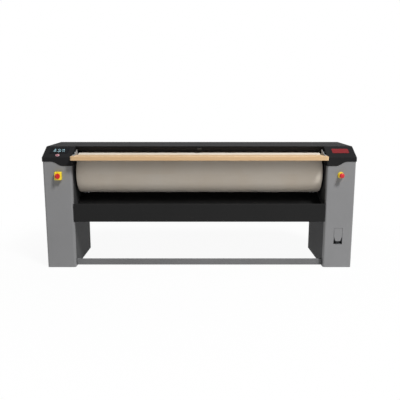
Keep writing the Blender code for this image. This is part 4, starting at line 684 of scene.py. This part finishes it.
def roller_cloth_tree():
    bench, given = node_tree("roller_cloth", [
        ("Radius", "NodeSocketFloat"), ("Half length", "NodeSocketFloat"),
        ("Edge round", "NodeSocketFloat"), ("Hem radius", "NodeSocketFloat"),
        ("Pleats", "NodeSocketInt"), ("Pleat depth", "NodeSocketFloat"),
        ("Columns", "NodeSocketInt"), ("Rows", "NodeSocketInt"),
        ("Centre", "NodeSocketVector"), ("Finish", "NodeSocketMaterial"),
    ])
    grid = bench.node("GeometryNodeMeshGrid", None, {
        "Size X": 2.0, "Size Y": 2 * math.pi,
        "Vertices X": given["Columns"], "Vertices Y": given["Rows"]})
    run, angle, _ = bench.split(bench.node("GeometryNodeInputPosition"))
    end = run.maths("SIGN")
    way = run.maths("ABSOLUTE")
    straight = way.within(0, STRAIGHT_SHARE) * (given["Half length"] - given["Edge round"])
    bend = way.within(STRAIGHT_SHARE, STRAIGHT_SHARE + EDGE_SHARE) * (math.pi / 2)
    gather = way.within(STRAIGHT_SHARE + EDGE_SHARE, 1)
    flat = gather * (given["Radius"] - given["Edge round"] - given["Hem radius"])
    pleat = (angle * given["Pleats"]).maths("SINE") * 0.5 + 0.5
    forward, upward = angle.maths("COSINE"), angle.maths("SINE")
    ripple = bench.node("ShaderNodeTexNoise", None, {
        "Vector": bench.join(run * LAYER_WAVES_ALONG, forward * LAYER_WAVES_ROUND,
                             upward * LAYER_WAVES_ROUND),
        "Scale": 1.0, "Detail": 2.0})
    reach = straight + given["Edge round"] * bend.maths("SINE")
    reach = reach - given["Pleat depth"] * gather * pleat
    radius = given["Radius"] - given["Edge round"] * (1 - bend.maths("COSINE")) - flat
    radius = radius - LAYER_WAVES * ripple * (1 - gather) + PLEAT_SWELL * gather * pleat
    round_axle = bench.join(end * reach, radius * forward, radius * upward)
    place = bench.node("ShaderNodeVectorMath", {"operation": "ADD"},
                       {0: round_axle, 1: given["Centre"]})
    length = straight + given["Edge round"] * bend + flat
    metres = bench.join(end * length, angle * given["Radius"], 0.0)
    mapped = bench.node("GeometryNodeStoreNamedAttribute",
                        {"data_type": "FLOAT2", "domain": "CORNER"},
                        {"Geometry": grid, "Name": "UVMap", "Value": metres})
    bent = bench.node("GeometryNodeSetPosition", None, {"Geometry": mapped, "Position": place})
    sewn = bench.node("GeometryNodeMergeByDistance", None,
                      {"Geometry": bent, "Distance": EDGE_MERGE})
    close_tree(bench, sewn, given["Finish"])
    return bench.tree


print("roller", round(2 * ROLLER_RADIUS, 4), "across and", round(2 * ROLLER_HALF, 4), "long")


# %% The cloth on the roller
CLOTH_COLUMNS = 91
ROWS_IN_A_PLEAT = 6


def closed_wall(mesh, thickness):
    """Thicken an open sheet inwards and return the closed mesh, its faces pointing outwards."""
    model = bmesh.new()
    model.from_mesh(mesh)
    axis = Vector((0, ROLLER_CENTRE.y, ROLLER_CENTRE.z))
    middle = [face for face in model.faces if abs(face.calc_center_median().x) < ROLLER_HALF / 4]
    outwards = sum(face.normal.dot(face.calc_center_median() - axis) for face in middle)
    if outwards < 0:
        bmesh.ops.reverse_faces(model, faces=model.faces)
    model.to_mesh(mesh)
    model.free()
    sheet = in_scene("sheet", mesh)
    wall = sheet.modifiers.new("wall", "SOLIDIFY")
    wall.thickness = thickness
    wall.offset = -1
    return as_mesh(sheet)


cloth_mesh = grown(roller_cloth_tree(), {
    "Radius": ROLLER_RADIUS, "Half length": ROLLER_HALF, "Edge round": EDGE_ROUND,
    "Hem radius": HEM_RADIUS, "Pleats": PLEATS, "Pleat depth": PLEAT_DEPTH,
    "Columns": CLOTH_COLUMNS, "Rows": PLEATS * ROWS_IN_A_PLEAT + 1,
    "Centre": (0, ROLLER_CENTRE.y, ROLLER_CENTRE.z), "Finish": FINISHES["padding_cloth"],
})
cloth_mesh = closed_wall(cloth_mesh, CLOTH_WALL)
roller_cloth = new_piece("roller_cloth", cloth_mesh, "padding_cloth", "roller")
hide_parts("roller_padding")
print("roller cloth:", triangles(cloth_mesh), "triangles, radius", round(ROLLER_RADIUS, 4))

# %% [markdown]
# ## The roller's seam and tapes
#
# The cloth is sewn into a sleeve with one lapped seam along the roller, and a tape round each end
# draws it tight. Both could be painted on, but they stand proud of the cloth and catch the light.
# The seam is a low band with a row of stitches beside each edge. A stitch is a stretched ball of
# twenty faces, because there are hundreds: a tree lays them along a line at an even pitch. The
# tape is a flat profile swept round a circle, with one copy at each end.

# %% Seam, stitches and tapes
SEAM_ANGLE = math.radians(118)
SEAM_WIDTH = 0.014
SEAM_PROUD = 0.0005
SEAM_MARGIN = 0.016
STITCH_LENGTH = 0.0052
STITCH_PITCH = 0.008
STITCH_WIDTH = 0.0011
STITCH_ROW_SHARE = 0.36
TAPE_RADIUS = 0.128
TAPE_WIDTH = 0.011
TAPE_THICKNESS = 0.0016
TAPE_STEPS = 96


def on_roller(x, angle, radius):
    """A point on the roller, its angle counted from the front over the top."""
    forward, upward = radius * math.cos(angle), radius * math.sin(angle)
    return Vector((x, ROLLER_CENTRE.y - forward, ROLLER_CENTRE.z + upward))


def stitch_row_tree():
    bench, given = node_tree("stitch_row", [
        ("Start", "NodeSocketVector"), ("End", "NodeSocketVector"), ("Pitch", "NodeSocketFloat"),
        ("Length", "NodeSocketFloat"), ("Width", "NodeSocketFloat"),
        ("Finish", "NodeSocketMaterial"),
    ])
    line = bench.node("GeometryNodeCurvePrimitiveLine", None,
                      {"Start": given["Start"], "End": given["End"]})
    marks = bench.node("GeometryNodeResampleCurve", {"mode": "LENGTH"},
                       {"Curve": line, "Length": given["Pitch"]})
    ball = bench.node("GeometryNodeMeshIcoSphere", None, {"Radius": 0.5, "Subdivisions": 1})
    size = bench.join(given["Length"], given["Width"], given["Width"])
    stitches = bench.node("GeometryNodeInstanceOnPoints", None,
                          {"Points": marks, "Instance": ball, "Scale": size})
    close_tree(bench, stitches, given["Finish"])
    return bench.tree


def tape_tree():
    bench, given = node_tree("draw_tape", [
        ("Radius", "NodeSocketFloat"), ("Width", "NodeSocketFloat"),
        ("Thickness", "NodeSocketFloat"), ("Reach", "NodeSocketFloat"),
        ("Centre", "NodeSocketVector"), ("Finish", "NodeSocketMaterial"),
    ])
    circle = bench.node("GeometryNodeCurvePrimitiveCircle", None,
                        {"Resolution": TAPE_STEPS, "Radius": given["Radius"]})
    strip = bench.node("GeometryNodeCurvePrimitiveQuadrilateral", None,
                       {"Width": given["Width"], "Height": given["Thickness"]})
    ring = bench.node("GeometryNodeCurveToMesh", None, {"Curve": circle, "Profile Curve": strip})
    ends = bench.node("GeometryNodeMeshLine", {"mode": "END_POINTS"}, {
        "Count": 2, "Start Location": bench.join(0 - given["Reach"], 0.0, 0.0),
        "Offset": bench.join(given["Reach"], 0.0, 0.0)})
    upright = bench.node("GeometryNodeTransform", None,
                         {"Geometry": ring, "Rotation": (0, math.pi / 2, 0)})
    pair = bench.node("GeometryNodeInstanceOnPoints", None, {"Points": ends, "Instance": upright})
    placed = bench.node("GeometryNodeTransform", None,
                        {"Geometry": pair, "Translation": given["Centre"]})
    close_tree(bench, placed, given["Finish"])
    return bench.tree


def seam_band():
    """A low closed band along the roller, its upper side curved with the cloth."""
    half = SEAM_WIDTH / 2 / ROLLER_RADIUS
    angles = [SEAM_ANGLE + half * share for share in (-1, -0.5, 0, 0.5, 1)]
    reach = ROLLER_HALF - SEAM_MARGIN
    loop = [(angle, ROLLER_RADIUS + SEAM_PROUD) for angle in angles]
    loop += [(angle, ROLLER_RADIUS - SEAM_PROUD) for angle in reversed(angles)]
    model = bmesh.new()
    near, far = [[model.verts.new(on_roller(x, *spot)) for spot in loop] for x in (-reach, reach)]
    for index in range(len(loop)):
        after = (index + 1) % len(loop)
        model.faces.new((near[index], near[after], far[after], far[index]))
    model.faces.new(near)
    model.faces.new(far)
    return drawn(model, "seam_band")


new_piece("roller_seam_band", seam_band(), "padding_cloth", "roller", "cotton_tape")
stitches = stitch_row_tree()
for side, share in (("front", -STITCH_ROW_SHARE), ("rear", STITCH_ROW_SHARE)):
    angle = SEAM_ANGLE + share * SEAM_WIDTH / ROLLER_RADIUS
    reach = ROLLER_HALF - 2 * SEAM_MARGIN
    row = grown(stitches, {
        "Start": on_roller(-reach, angle, ROLLER_RADIUS + SEAM_PROUD),
        "End": on_roller(reach, angle, ROLLER_RADIUS + SEAM_PROUD),
        "Pitch": STITCH_PITCH, "Length": STITCH_LENGTH, "Width": STITCH_WIDTH,
        "Finish": FINISHES["cotton_tape"],
    })
    new_piece(f"roller_stitches_{side}", row, "padding_cloth", "roller", "cotton_tape")
    print(side, "stitches:", triangles(row), "triangles")
tapes = grown(tape_tree(), {
    "Radius": TAPE_RADIUS, "Width": TAPE_WIDTH, "Thickness": TAPE_THICKNESS, "Reach": ROLLER_HALF,
    "Centre": (0, ROLLER_CENTRE.y, ROLLER_CENTRE.z), "Finish": FINISHES["cotton_tape"],
})
new_piece("roller_draw_tapes", tapes, "padding_cloth", "roller", "cotton_tape")

# %% [markdown]
# ## Screws
#
# A screw belongs on the sheet that it holds. Its place could be typed in, but then it would hang
# in the air as soon as the sheet moved. So a straight line is sent at a solid, and the point where
# it meets the sheet, with the way that the sheet faces there, seats the screw. One tree then sets
# a pan head on every seat. The head starts as a short cylinder. Its top is pulled up and narrowed
# into a dome, and a socket is sunk into that.

# %% A line onto a solid, the seats and the heads
SCREW_SIDES = 12
SEATED_SHARE = 0.45
HEAD_STEPS = ((0.4, 0.74), (0.0, 0.62), (-0.7, 1.0))


def met(node, start, way):
    """The point where a line meets a node, and the way its surface faces there."""
    solid = BVHTree.FromObject(frame["nodes"][node], bpy.context.evaluated_depsgraph_get())
    spot, facing, _, _ = solid.ray_cast(Vector(start), Vector(way))
    if spot is None:
        raise ValueError(f"the line from {start} misses {node}")
    return spot, facing


def seats_mesh(seats):
    """A mesh of bare points that carry the way each one faces."""
    mesh = bpy.data.meshes.new("seats")
    mesh.from_pydata([spot for spot, _ in seats], [], [])
    facing = mesh.attributes.new("facing", "FLOAT_VECTOR", "POINT")
    for index, (_, way) in enumerate(seats):
        facing.data[index].vector = way
    return mesh


def screw_tree():
    """Pan heads on seats. Each step pulls the top by some heights, then narrows it to a share."""
    bench, given = node_tree("pan_head_screws", [
        ("Seats", "NodeSocketGeometry"), ("Radius", "NodeSocketFloat"),
        ("Height", "NodeSocketFloat"), ("Sides", "NodeSocketInt"),
        ("Finish", "NodeSocketMaterial"),
    ])
    head = bench.node("GeometryNodeMeshCylinder", {"fill_type": "NGON"}, {
        "Vertices": given["Sides"], "Radius": given["Radius"], "Depth": given["Height"]})
    top = head.also("Top")
    for rise, share in HEAD_STEPS:
        pulled = bench.node("GeometryNodeExtrudeMesh", {"mode": "FACES"}, {
            "Mesh": head, "Selection": top, "Offset Scale": given["Height"] * rise})
        top = pulled.also("Top")
        head = bench.node("GeometryNodeScaleElements", {"domain": "FACE"}, {
            "Geometry": pulled, "Selection": top, "Scale": share})
    lift = bench.join(0.0, 0.0, given["Height"] * SEATED_SHARE)
    seated = bench.node("GeometryNodeTransform", None, {"Geometry": head, "Translation": lift})
    facing = bench.node("GeometryNodeInputNamedAttribute", {"data_type": "FLOAT_VECTOR"},
                        {"Name": "facing"})
    tilt = bench.node("FunctionNodeAlignRotationToVector", {"axis": "Z"}, {"Vector": facing})
    heads = bench.node("GeometryNodeInstanceOnPoints", None, {
        "Points": given["Seats"], "Instance": seated, "Rotation": tilt})
    close_tree(bench, heads, given["Finish"])
    return bench.tree


SCREWS = screw_tree()


def screws(name, seats, radius, height, slot, body):
    """Make one piece with a pan head on every seat."""
    mesh = grown(SCREWS, {"Radius": radius, "Height": height, "Sides": SCREW_SIDES,
                          "Finish": FINISHES[slot]}, seats_mesh(seats))
    print(name, len(seats), "heads,", triangles(mesh), "triangles")
    new_piece(name, mesh, slot, body)


# %% [markdown]
# ## Screws that hold the sheets
#
# The side panels are screwed to the frames near their front and rear edges, the rear panels near
# both sides, the rear cover along its top and bottom, and the end covers and the hood along their
# rear edges. Each bracket of the guard board has two bolts through its foot. The rows could be
# typed in place by place, but spread over each sheet's own box, with a margin at each end, they
# follow the machine if it changes. Only the height of the covers' row and the places of the bolts
# are given outright, because a box doesn't say where a fold or a foot is inside it.

# %% Panel screws
PANEL_SCREW = (0.0050, 0.0022)
COVER_SCREW = (0.0042, 0.0020)
BOARD_BOLT = (0.0042, 0.0022)
FAR = 0.5
SIDE_INSET, SIDE_MARGIN, SIDE_COUNT = 0.040, 0.070, 4
REAR_INSET, REAR_MARGIN, REAR_COUNT = 0.016, 0.040, 5
REAR_COVER_INSET, REAR_COVER_MARGIN, REAR_COVER_COUNT = 0.014, 0.040, 9
COVER_ROW, COVER_MARGIN = 0.945, 0.030
COVER_COUNTS = {"left_end_cover": 3, "hood_cover": 9, "right_end_cover": 3}
BOLTS_ACROSS, BOLTS_ALONG = 1.0335, (-0.262, -0.212)


def spread(low, high, count, margin):
    """Evenly spaced places between two edges, the outer ones a margin in."""
    step = (high - low - 2 * margin) / (count - 1)
    return [low + margin + step * index for index in range(count)]


side_seats = []
rear_seats = []
for side, way in (("left", -1), ("right", 1)):
    panel = f"{side}_side_panel"
    low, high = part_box(f"{side}_side_panel")
    for y in (low.y + SIDE_INSET, high.y - SIDE_INSET):
        for z in spread(low.z, high.z, SIDE_COUNT, SIDE_MARGIN):
            side_seats.append(met(panel, (way * (CAD_BOX[1].x + FAR), y, z), (-way, 0, 0)))
    panel = f"{side}_rear_panel"
    low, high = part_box(f"{side}_rear_panel")
    for x in (low.x + REAR_INSET, high.x - REAR_INSET):
        for z in spread(low.z, high.z, REAR_COUNT, REAR_MARGIN):
            rear_seats.append(met(panel, (x, high.y + FAR, z), (0, -1, 0)))
low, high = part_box("rear_cover")
for x in spread(low.x, high.x, REAR_COVER_COUNT, REAR_COVER_MARGIN):
    for z in (low.z + REAR_COVER_INSET, high.z - REAR_COVER_INSET):
        rear_seats.append(met("rear_cover", (x, high.y + FAR, z), (0, -1, 0)))
cover_seats = []
for node, count in COVER_COUNTS.items():
    low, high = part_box(node)
    for x in spread(low.x, high.x, count, COVER_MARGIN):
        cover_seats.append(met(node, (x, high.y + FAR, COVER_ROW), (0, -1, 0)))
board_seats = []
for node, side in (("left_guard_bracket", -1), ("right_guard_bracket", 1)):
    for y in BOLTS_ALONG:
        start = (side * BOLTS_ACROSS, y, CAD_BOX[1].z + FAR)
        board_seats.append(met(node, start, (0, 0, -1)))
screws("side_panel_screws", side_seats, *PANEL_SCREW, "zinc_steel", "machine")
screws("cover_screws", cover_seats, *COVER_SCREW, "zinc_steel", "machine")
screws("board_bolts", board_seats, *BOARD_BOLT, "polished_steel", "guard")
screws("rear_screws", rear_seats, *PANEL_SCREW, "zinc_steel", "machine")

# %% [markdown]
# ## Signs
#
# The display shows three readings, each a small picture over its number or bars: the heat of the
# bed, the turning of the roller and the speed of the linen. A picture file would blur close to, so
# they are drawn flat from a few outlines: a bar, a disc, part of a ring, and an arrowhead. Each
# outline becomes a plate a fraction of a millimetre thick. Numbers come from a Text object, which
# is made a mesh before it is laid on the machine. A line sent at a solid again gives the place,
# and the way that the surface faces gives the plate its tilt.

# %% Outlines and plates
SIGN_DEPTH = 0.0003
ARC_STEPS = 24


def laid(node, start, way):
    """The place where a line meets a node: right, up along the surface, and out of it."""
    spot, out = met(node, start, way)
    right = Vector((1, 0, 0))
    turned = Matrix((right, out.cross(right), out)).transposed()
    return Matrix.Translation(spot) @ turned.to_4x4()


def bar(across, up, width, height):
    corners = ((-1, -1), (1, -1), (1, 1), (-1, 1))
    return [(across + s * width / 2, up + t * height / 2) for s, t in corners]


def arc(across, up, radius, stroke, start, end):
    """Part of a ring, its angles in degrees, or a disc where the stroke is the radius."""
    angles = [math.radians(start + (end - start) * step / ARC_STEPS)
              for step in range(ARC_STEPS + 1)]
    outer = [(across + radius * math.cos(a), up + radius * math.sin(a)) for a in angles]
    if stroke == radius:
        return outer[:-1]
    inside = radius - stroke
    inner = [(across + inside * math.cos(a), up + inside * math.sin(a)) for a in reversed(angles)]
    return outer + inner


def chevron(across, up, width, height, stroke):
    """An arrowhead that points right."""
    tip, tail = across + width, across + width - stroke
    half = height / 2
    return [(across, up + half), (across + stroke, up + half), (tip, up),
            (across + stroke, up - half), (across, up - half), (tail, up)]


def lettered(words, across, up, size):
    """A number as a mesh of plates."""
    letters = bpy.data.curves.new("letters", "FONT")
    letters.body = words
    letters.size = size
    letters.extrude = SIGN_DEPTH
    letters.align_x = "CENTER"
    letters.align_y = "CENTER"
    mesh = as_mesh(in_scene("letters", letters))
    mesh.transform(Matrix.Translation((across, up, 0)))
    return mesh


def plates(place, outlines, texts=()):
    """One closed mesh of flat outlines and numbers, laid on a place."""
    model = bmesh.new()
    for outline in outlines:
        lower, upper = [[model.verts.new((s, t, side * SIGN_DEPTH)) for s, t in outline]
                        for side in (-1, 1)]
        for corners in tessellate_polygon([[Vector((s, t, 0)) for s, t in outline]]):
            model.faces.new([upper[index] for index in corners])
            model.faces.new([lower[index] for index in reversed(corners)])
        for index in range(len(outline)):
            model.faces.new((lower[index - 1], lower[index], upper[index], upper[index - 1]))
    for text in texts:
        model.from_mesh(lettered(*text))
    bmesh.ops.remove_doubles(model, verts=model.verts, dist=WELD)
    mesh = drawn(model, "plates")
    mesh.transform(place)
    return mesh


# %% [markdown]
# ## The display, the button and the main switch
#
# The display sits on the sloped panel of the left cover, so its signs are laid on that slope. The
# button below it carries the usual mark of a ring that is open at the top with a bar in it, and it
# moves with the button. The main switch says 0 and I on its yellow plate. All of them are measured
# from the middle of what carries them.

# %% Pictures for the display
READINGS = 0.036
PICTURE_ROW = 0.011
NUMBER_ROW = -0.012
DIGITS = 0.019
BULB = 0.0052
MARK_RISES = (-0.002, 0.003, 0.008)
BAR_COUNT = 5
BAR_PITCH = 0.0062
BAR_WIDTH = 0.0044
BAR_SHORTEST = 0.003
BAR_GROWTH = 0.0026
POINTER = [(-0.0035, -0.026), (0.0035, -0.026), (0, -0.032)]
ARROW_PITCH = 0.010


def thermometer(across):
    """A stem on a bulb, with three marks beside it."""
    stem = bar(across, PICTURE_ROW + 0.003, width=0.0044, height=0.018)
    bulb = arc(across, PICTURE_ROW - 0.007, BULB, BULB, 0, 360)
    marks = [bar(across + 0.0075, PICTURE_ROW + rise, width=0.005, height=0.0018)
             for rise in MARK_RISES]
    return [stem, bulb, *marks]


def turning_arrow():
    """A ring that is open at the upper right, and its arrowhead."""
    ring = arc(0, PICTURE_ROW, radius=0.0100, stroke=0.0030, start=70, end=370)
    head = [(0.0045, PICTURE_ROW), (0.0135, PICTURE_ROW), (0.0090, PICTURE_ROW - 0.006)]
    return [ring, head]


def rising_bars():
    """Bars on one line, each taller than the last, and a pointer under the middle one."""
    lowest = NUMBER_ROW - 0.006
    bars = [bar((step - BAR_COUNT // 2) * BAR_PITCH, lowest + BAR_GROWTH / 2 * step,
                BAR_WIDTH, BAR_SHORTEST + BAR_GROWTH * step) for step in range(BAR_COUNT)]
    return [*bars, POINTER]


def speed_arrows(across):
    """Two arrowheads, one behind the other."""
    return [chevron(across - 0.012 + ARROW_PITCH * step, PICTURE_ROW,
                    width=0.0095, height=0.017, stroke=0.0045) for step in (0, 1)]


pictures = thermometer(-READINGS) + turning_arrow() + rising_bars() + speed_arrows(READINGS)
numbers = [("180", -READINGS, NUMBER_ROW, DIGITS), ("3.5", READINGS, NUMBER_ROW, DIGITS)]
print("the display has", len(pictures), "outlines and", len(numbers), "numbers")

# %% Signs on the controls
ABOVE = CAD_BOX[1].z + FAR
SWITCH_LETTERS = 0.009
SWITCH_SIGNS = (("zero", "0", -0.0205, 0.0262), ("one", "I", 0, 0.0275))

low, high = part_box("display_panel")
window = laid("display_panel", ((low.x + high.x) / 2, (low.y + high.y) / 2, ABOVE), (0, 0, -1))
signs = plates(window, pictures, numbers)
new_piece("display_signs", signs, "dark_glass", "machine", "display_light")
print("display signs:", triangles(signs), "triangles")

low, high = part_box("power_button")
button_top = laid("power_button", ((low.x + high.x) / 2, (low.y + high.y) / 2, ABOVE), (0, 0, -1))
open_ring = arc(0, 0, radius=0.0060, stroke=0.0013, start=120, end=420)
mark = plates(button_top, [open_ring, bar(0, 0.0048, width=0.0014, height=0.0056)])
new_piece("power_button_mark", mark, "pale_plastic", "button")

low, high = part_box("main_switch_box")
middle = (low + high) / 2
for name, words, across, up in SWITCH_SIGNS:
    spot = laid("main_switch_box", (middle.x + across, low.y - FAR, middle.z + up), (0, 1, 0))
    sign = plates(spot, [], [(words, 0, 0, SWITCH_LETTERS)])
    new_piece(f"switch_sign_{name}", sign, "black_plastic", "machine")

# %% [markdown]
# ## The sensor's eye and the grip of the gland
#
# A small eye in the middle of the hood sees whether linen is being fed. It is a domed lens in a
# ring, both turned about the way that the box faces. Stacked cylinders would show steps, so Spin
# carries a drawn profile round an axis, as a lathe does. The nut of the cable gland has ribs for
# the fingers, set round a circle by a tree.

# %% Lens and ribs
LENS_PROFILE = [(0, 0.0016), (0.0025, 0.0014), (0.0045, 0.0008), (0.0060, -0.0005), (0, -0.0005)]
RING_PROFILE = [(0.0058, -0.0004), (0.0090, -0.0004), (0.0090, 0.0010), (0.0084, 0.0016),
                (0.0066, 0.0016), (0.0058, 0.0009)]
LATHE_STEPS = 32
RIB_PLACE = 0.338
RIB_COUNT = 24
RIB_THICKNESS = 0.0008
RIB_LENGTH = 0.009


def lathed(place, profile):
    """A closed shape from pairs of radius and height, spun about the way out of a place."""
    model = bmesh.new()
    spots = [model.verts.new((radius, 0, height)) for radius, height in profile]
    on_axis = profile[0][0] == 0 and profile[-1][0] == 0
    first = 1 if on_axis else 0
    edges = [model.edges.new((spots[index - 1], spots[index]))
             for index in range(first, len(spots))]
    bmesh.ops.spin(model, geom=spots + edges, axis=(0, 0, 1), cent=(0, 0, 0),
                   steps=LATHE_STEPS, angle=2 * math.pi)
    bmesh.ops.remove_doubles(model, verts=model.verts, dist=WELD)
    mesh = drawn(model, "lathed")
    mesh.transform(place)
    return mesh


def ribs_tree():
    bench, given = node_tree("ribs_round_a_nut", [
        ("Count", "NodeSocketInt"), ("Radius", "NodeSocketFloat"),
        ("Thickness", "NodeSocketFloat"), ("Length", "NodeSocketFloat"),
        ("Centre", "NodeSocketVector"), ("Finish", "NodeSocketMaterial"),
    ])
    circle = bench.node("GeometryNodeMeshCircle", None,
                        {"Vertices": given["Count"], "Radius": given["Radius"]})
    rib = bench.node("GeometryNodeMeshCylinder", {"fill_type": "NGON"}, {
        "Vertices": 8, "Radius": given["Thickness"], "Depth": given["Length"]})
    ribs = bench.node("GeometryNodeInstanceOnPoints", None, {"Points": circle, "Instance": rib})
    placed = bench.node("GeometryNodeTransform", None, {
        "Geometry": ribs, "Rotation": (math.pi / 2, 0, 0), "Translation": given["Centre"]})
    close_tree(bench, placed, given["Finish"])
    return bench.tree


low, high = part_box("feed_sensor")
middle = (low + high) / 2
eye = laid("feed_sensor", (middle.x, middle.y - FAR, middle.z + FAR), (0, 1, -1))
new_piece("sensor_lens", lathed(eye, LENS_PROFILE), "dark_glass", "machine")
new_piece("sensor_ring", lathed(eye, RING_PROFILE), "black_plastic", "machine")

low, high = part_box("cable_gland")
middle = (low + high) / 2
edge, _ = met("cable_gland", (middle.x, RIB_PLACE, high.z + FAR), (0, 0, -1))
ribs = grown(ribs_tree(), {
    "Count": RIB_COUNT, "Radius": edge.z - middle.z, "Thickness": RIB_THICKNESS,
    "Length": RIB_LENGTH, "Centre": (middle.x, RIB_PLACE, middle.z),
    "Finish": FINISHES["black_plastic"],
})
new_piece("gland_ribs", ribs, "black_plastic", "machine")
print("gland radius", round(edge.z - middle.z, 4))

# %% [markdown]
# ## The floor and the light
#
# A picture of a studio wrapped round the machine could light it, but then no single lamp could be
# turned. The photograph was lit from the upper right, in front: the shadow of the emergency stop
# gives the way. The two columns are about equally bright, so the lamp was far off, and the shadows
# have soft edges, so it was wide. A pale floor throws part of that light back up, and the world
# adds a little from everywhere. Under the guard board, most of what reaches the roller is that
# borrowed light. The world and the floor also have to look white, but more light on the object
# would wash it out. So they are plain for the light that reaches the object, and white only where
# the camera, a mirror or glass looks at them. Close to the machine the floor keeps part of its
# plain look, and with it the soft shadow.

# %% The world, white only where it is seen
FILL = 0.09
WHITE = (1, 1, 1, 1)


def seen_directly(bench):
    """1 for rays from the camera, a mirror or glass."""
    rays = bench.tree.nodes.new("ShaderNodeLightPath")
    total = Wire(bench, rays.outputs["Is Camera Ray"]) + Wire(bench, rays.outputs["Is Glossy Ray"])
    return (total + Wire(bench, rays.outputs["Is Transmission Ray"])).maths("MINIMUM", 1)


world = bpy.data.worlds.new("studio")
world.use_nodes = True
bpy.context.scene.world = world
sky = Bench(world.node_tree)
glow = world.node_tree.nodes["Background"]
glow.inputs["Color"].default_value = WHITE
strength = FILL + (1 - FILL) * seen_directly(sky)
world.node_tree.links.new(strength.socket, glow.inputs["Strength"])
print("the world lights the object with", FILL)

# %% The floor
FLOOR_SIZE = 60
NEAR_GLOW = 0.94
GLOW_NEAR = 1.3
GLOW_FAR = 2.6

floor_mesh = bpy.data.meshes.new("floor")
model = bmesh.new()
bmesh.ops.create_grid(model, x_segments=1, y_segments=1, size=FLOOR_SIZE / 2)
model.to_mesh(floor_mesh)
model.free()
floor = in_scene("floor", floor_mesh)
floor_finish = bpy.data.materials.new("studio_floor")
floor_finish.use_nodes = True
ground = Bench(floor_finish.node_tree)
plain = floor_finish.node_tree.nodes["Principled BSDF"]
plain.inputs["Roughness"].default_value = 0.9
plain.inputs["Specular IOR Level"].default_value = 0
speckle = ground.node("ShaderNodeTexNoise", None, {"Scale": 40.0})
plain_colour = ground.mix(speckle, chart(246, 246, 246), chart(250, 250, 250))
ground.tree.links.new(plain_colour.socket, plain.inputs["Base Color"])
white = ground.node("ShaderNodeEmission", None, {"Color": WHITE, "Strength": 1.0})
place = ground.node("ShaderNodeTexCoord", out=3)
away = ground.node("ShaderNodeVectorMath", {"operation": "LENGTH"}, {0: place}, out=1)
whiteness = NEAR_GLOW + (1 - NEAR_GLOW) * away.within(GLOW_NEAR, GLOW_FAR)
both = ground.node("ShaderNodeMixShader", None, {
    0: seen_directly(ground) * whiteness, 1: Wire(ground, plain.outputs[0]), 2: white})
last = floor_finish.node_tree.nodes["Material Output"]
ground.tree.links.new(both.socket, last.inputs[0])
floor_mesh.materials.append(floor_finish)
print("the floor turns fully white", GLOW_FAR, "m from the middle")

# %% The lamp
LAMP_WAY = Vector((0.69, -1, 1.51)).normalized()
LAMP_DISTANCE = 12
LAMP_POWER = 1400
LAMP_SIZE = 2.2
LAMP_AIM = Vector((0, 0, 0.6))

lamp = bpy.data.lights.new("soft_lamp", "AREA")
lamp.shape = "SQUARE"
lamp.size = LAMP_SIZE
lamp.energy = LAMP_POWER
lamp_thing = in_scene("soft_lamp", lamp)
lamp_thing.location = LAMP_AIM + LAMP_WAY * LAMP_DISTANCE
lamp_thing.rotation_euler = (-LAMP_WAY).to_track_quat("-Z", "Y").to_euler()
print("lamp at", tuple(round(v, 2) for v in lamp_thing.location))
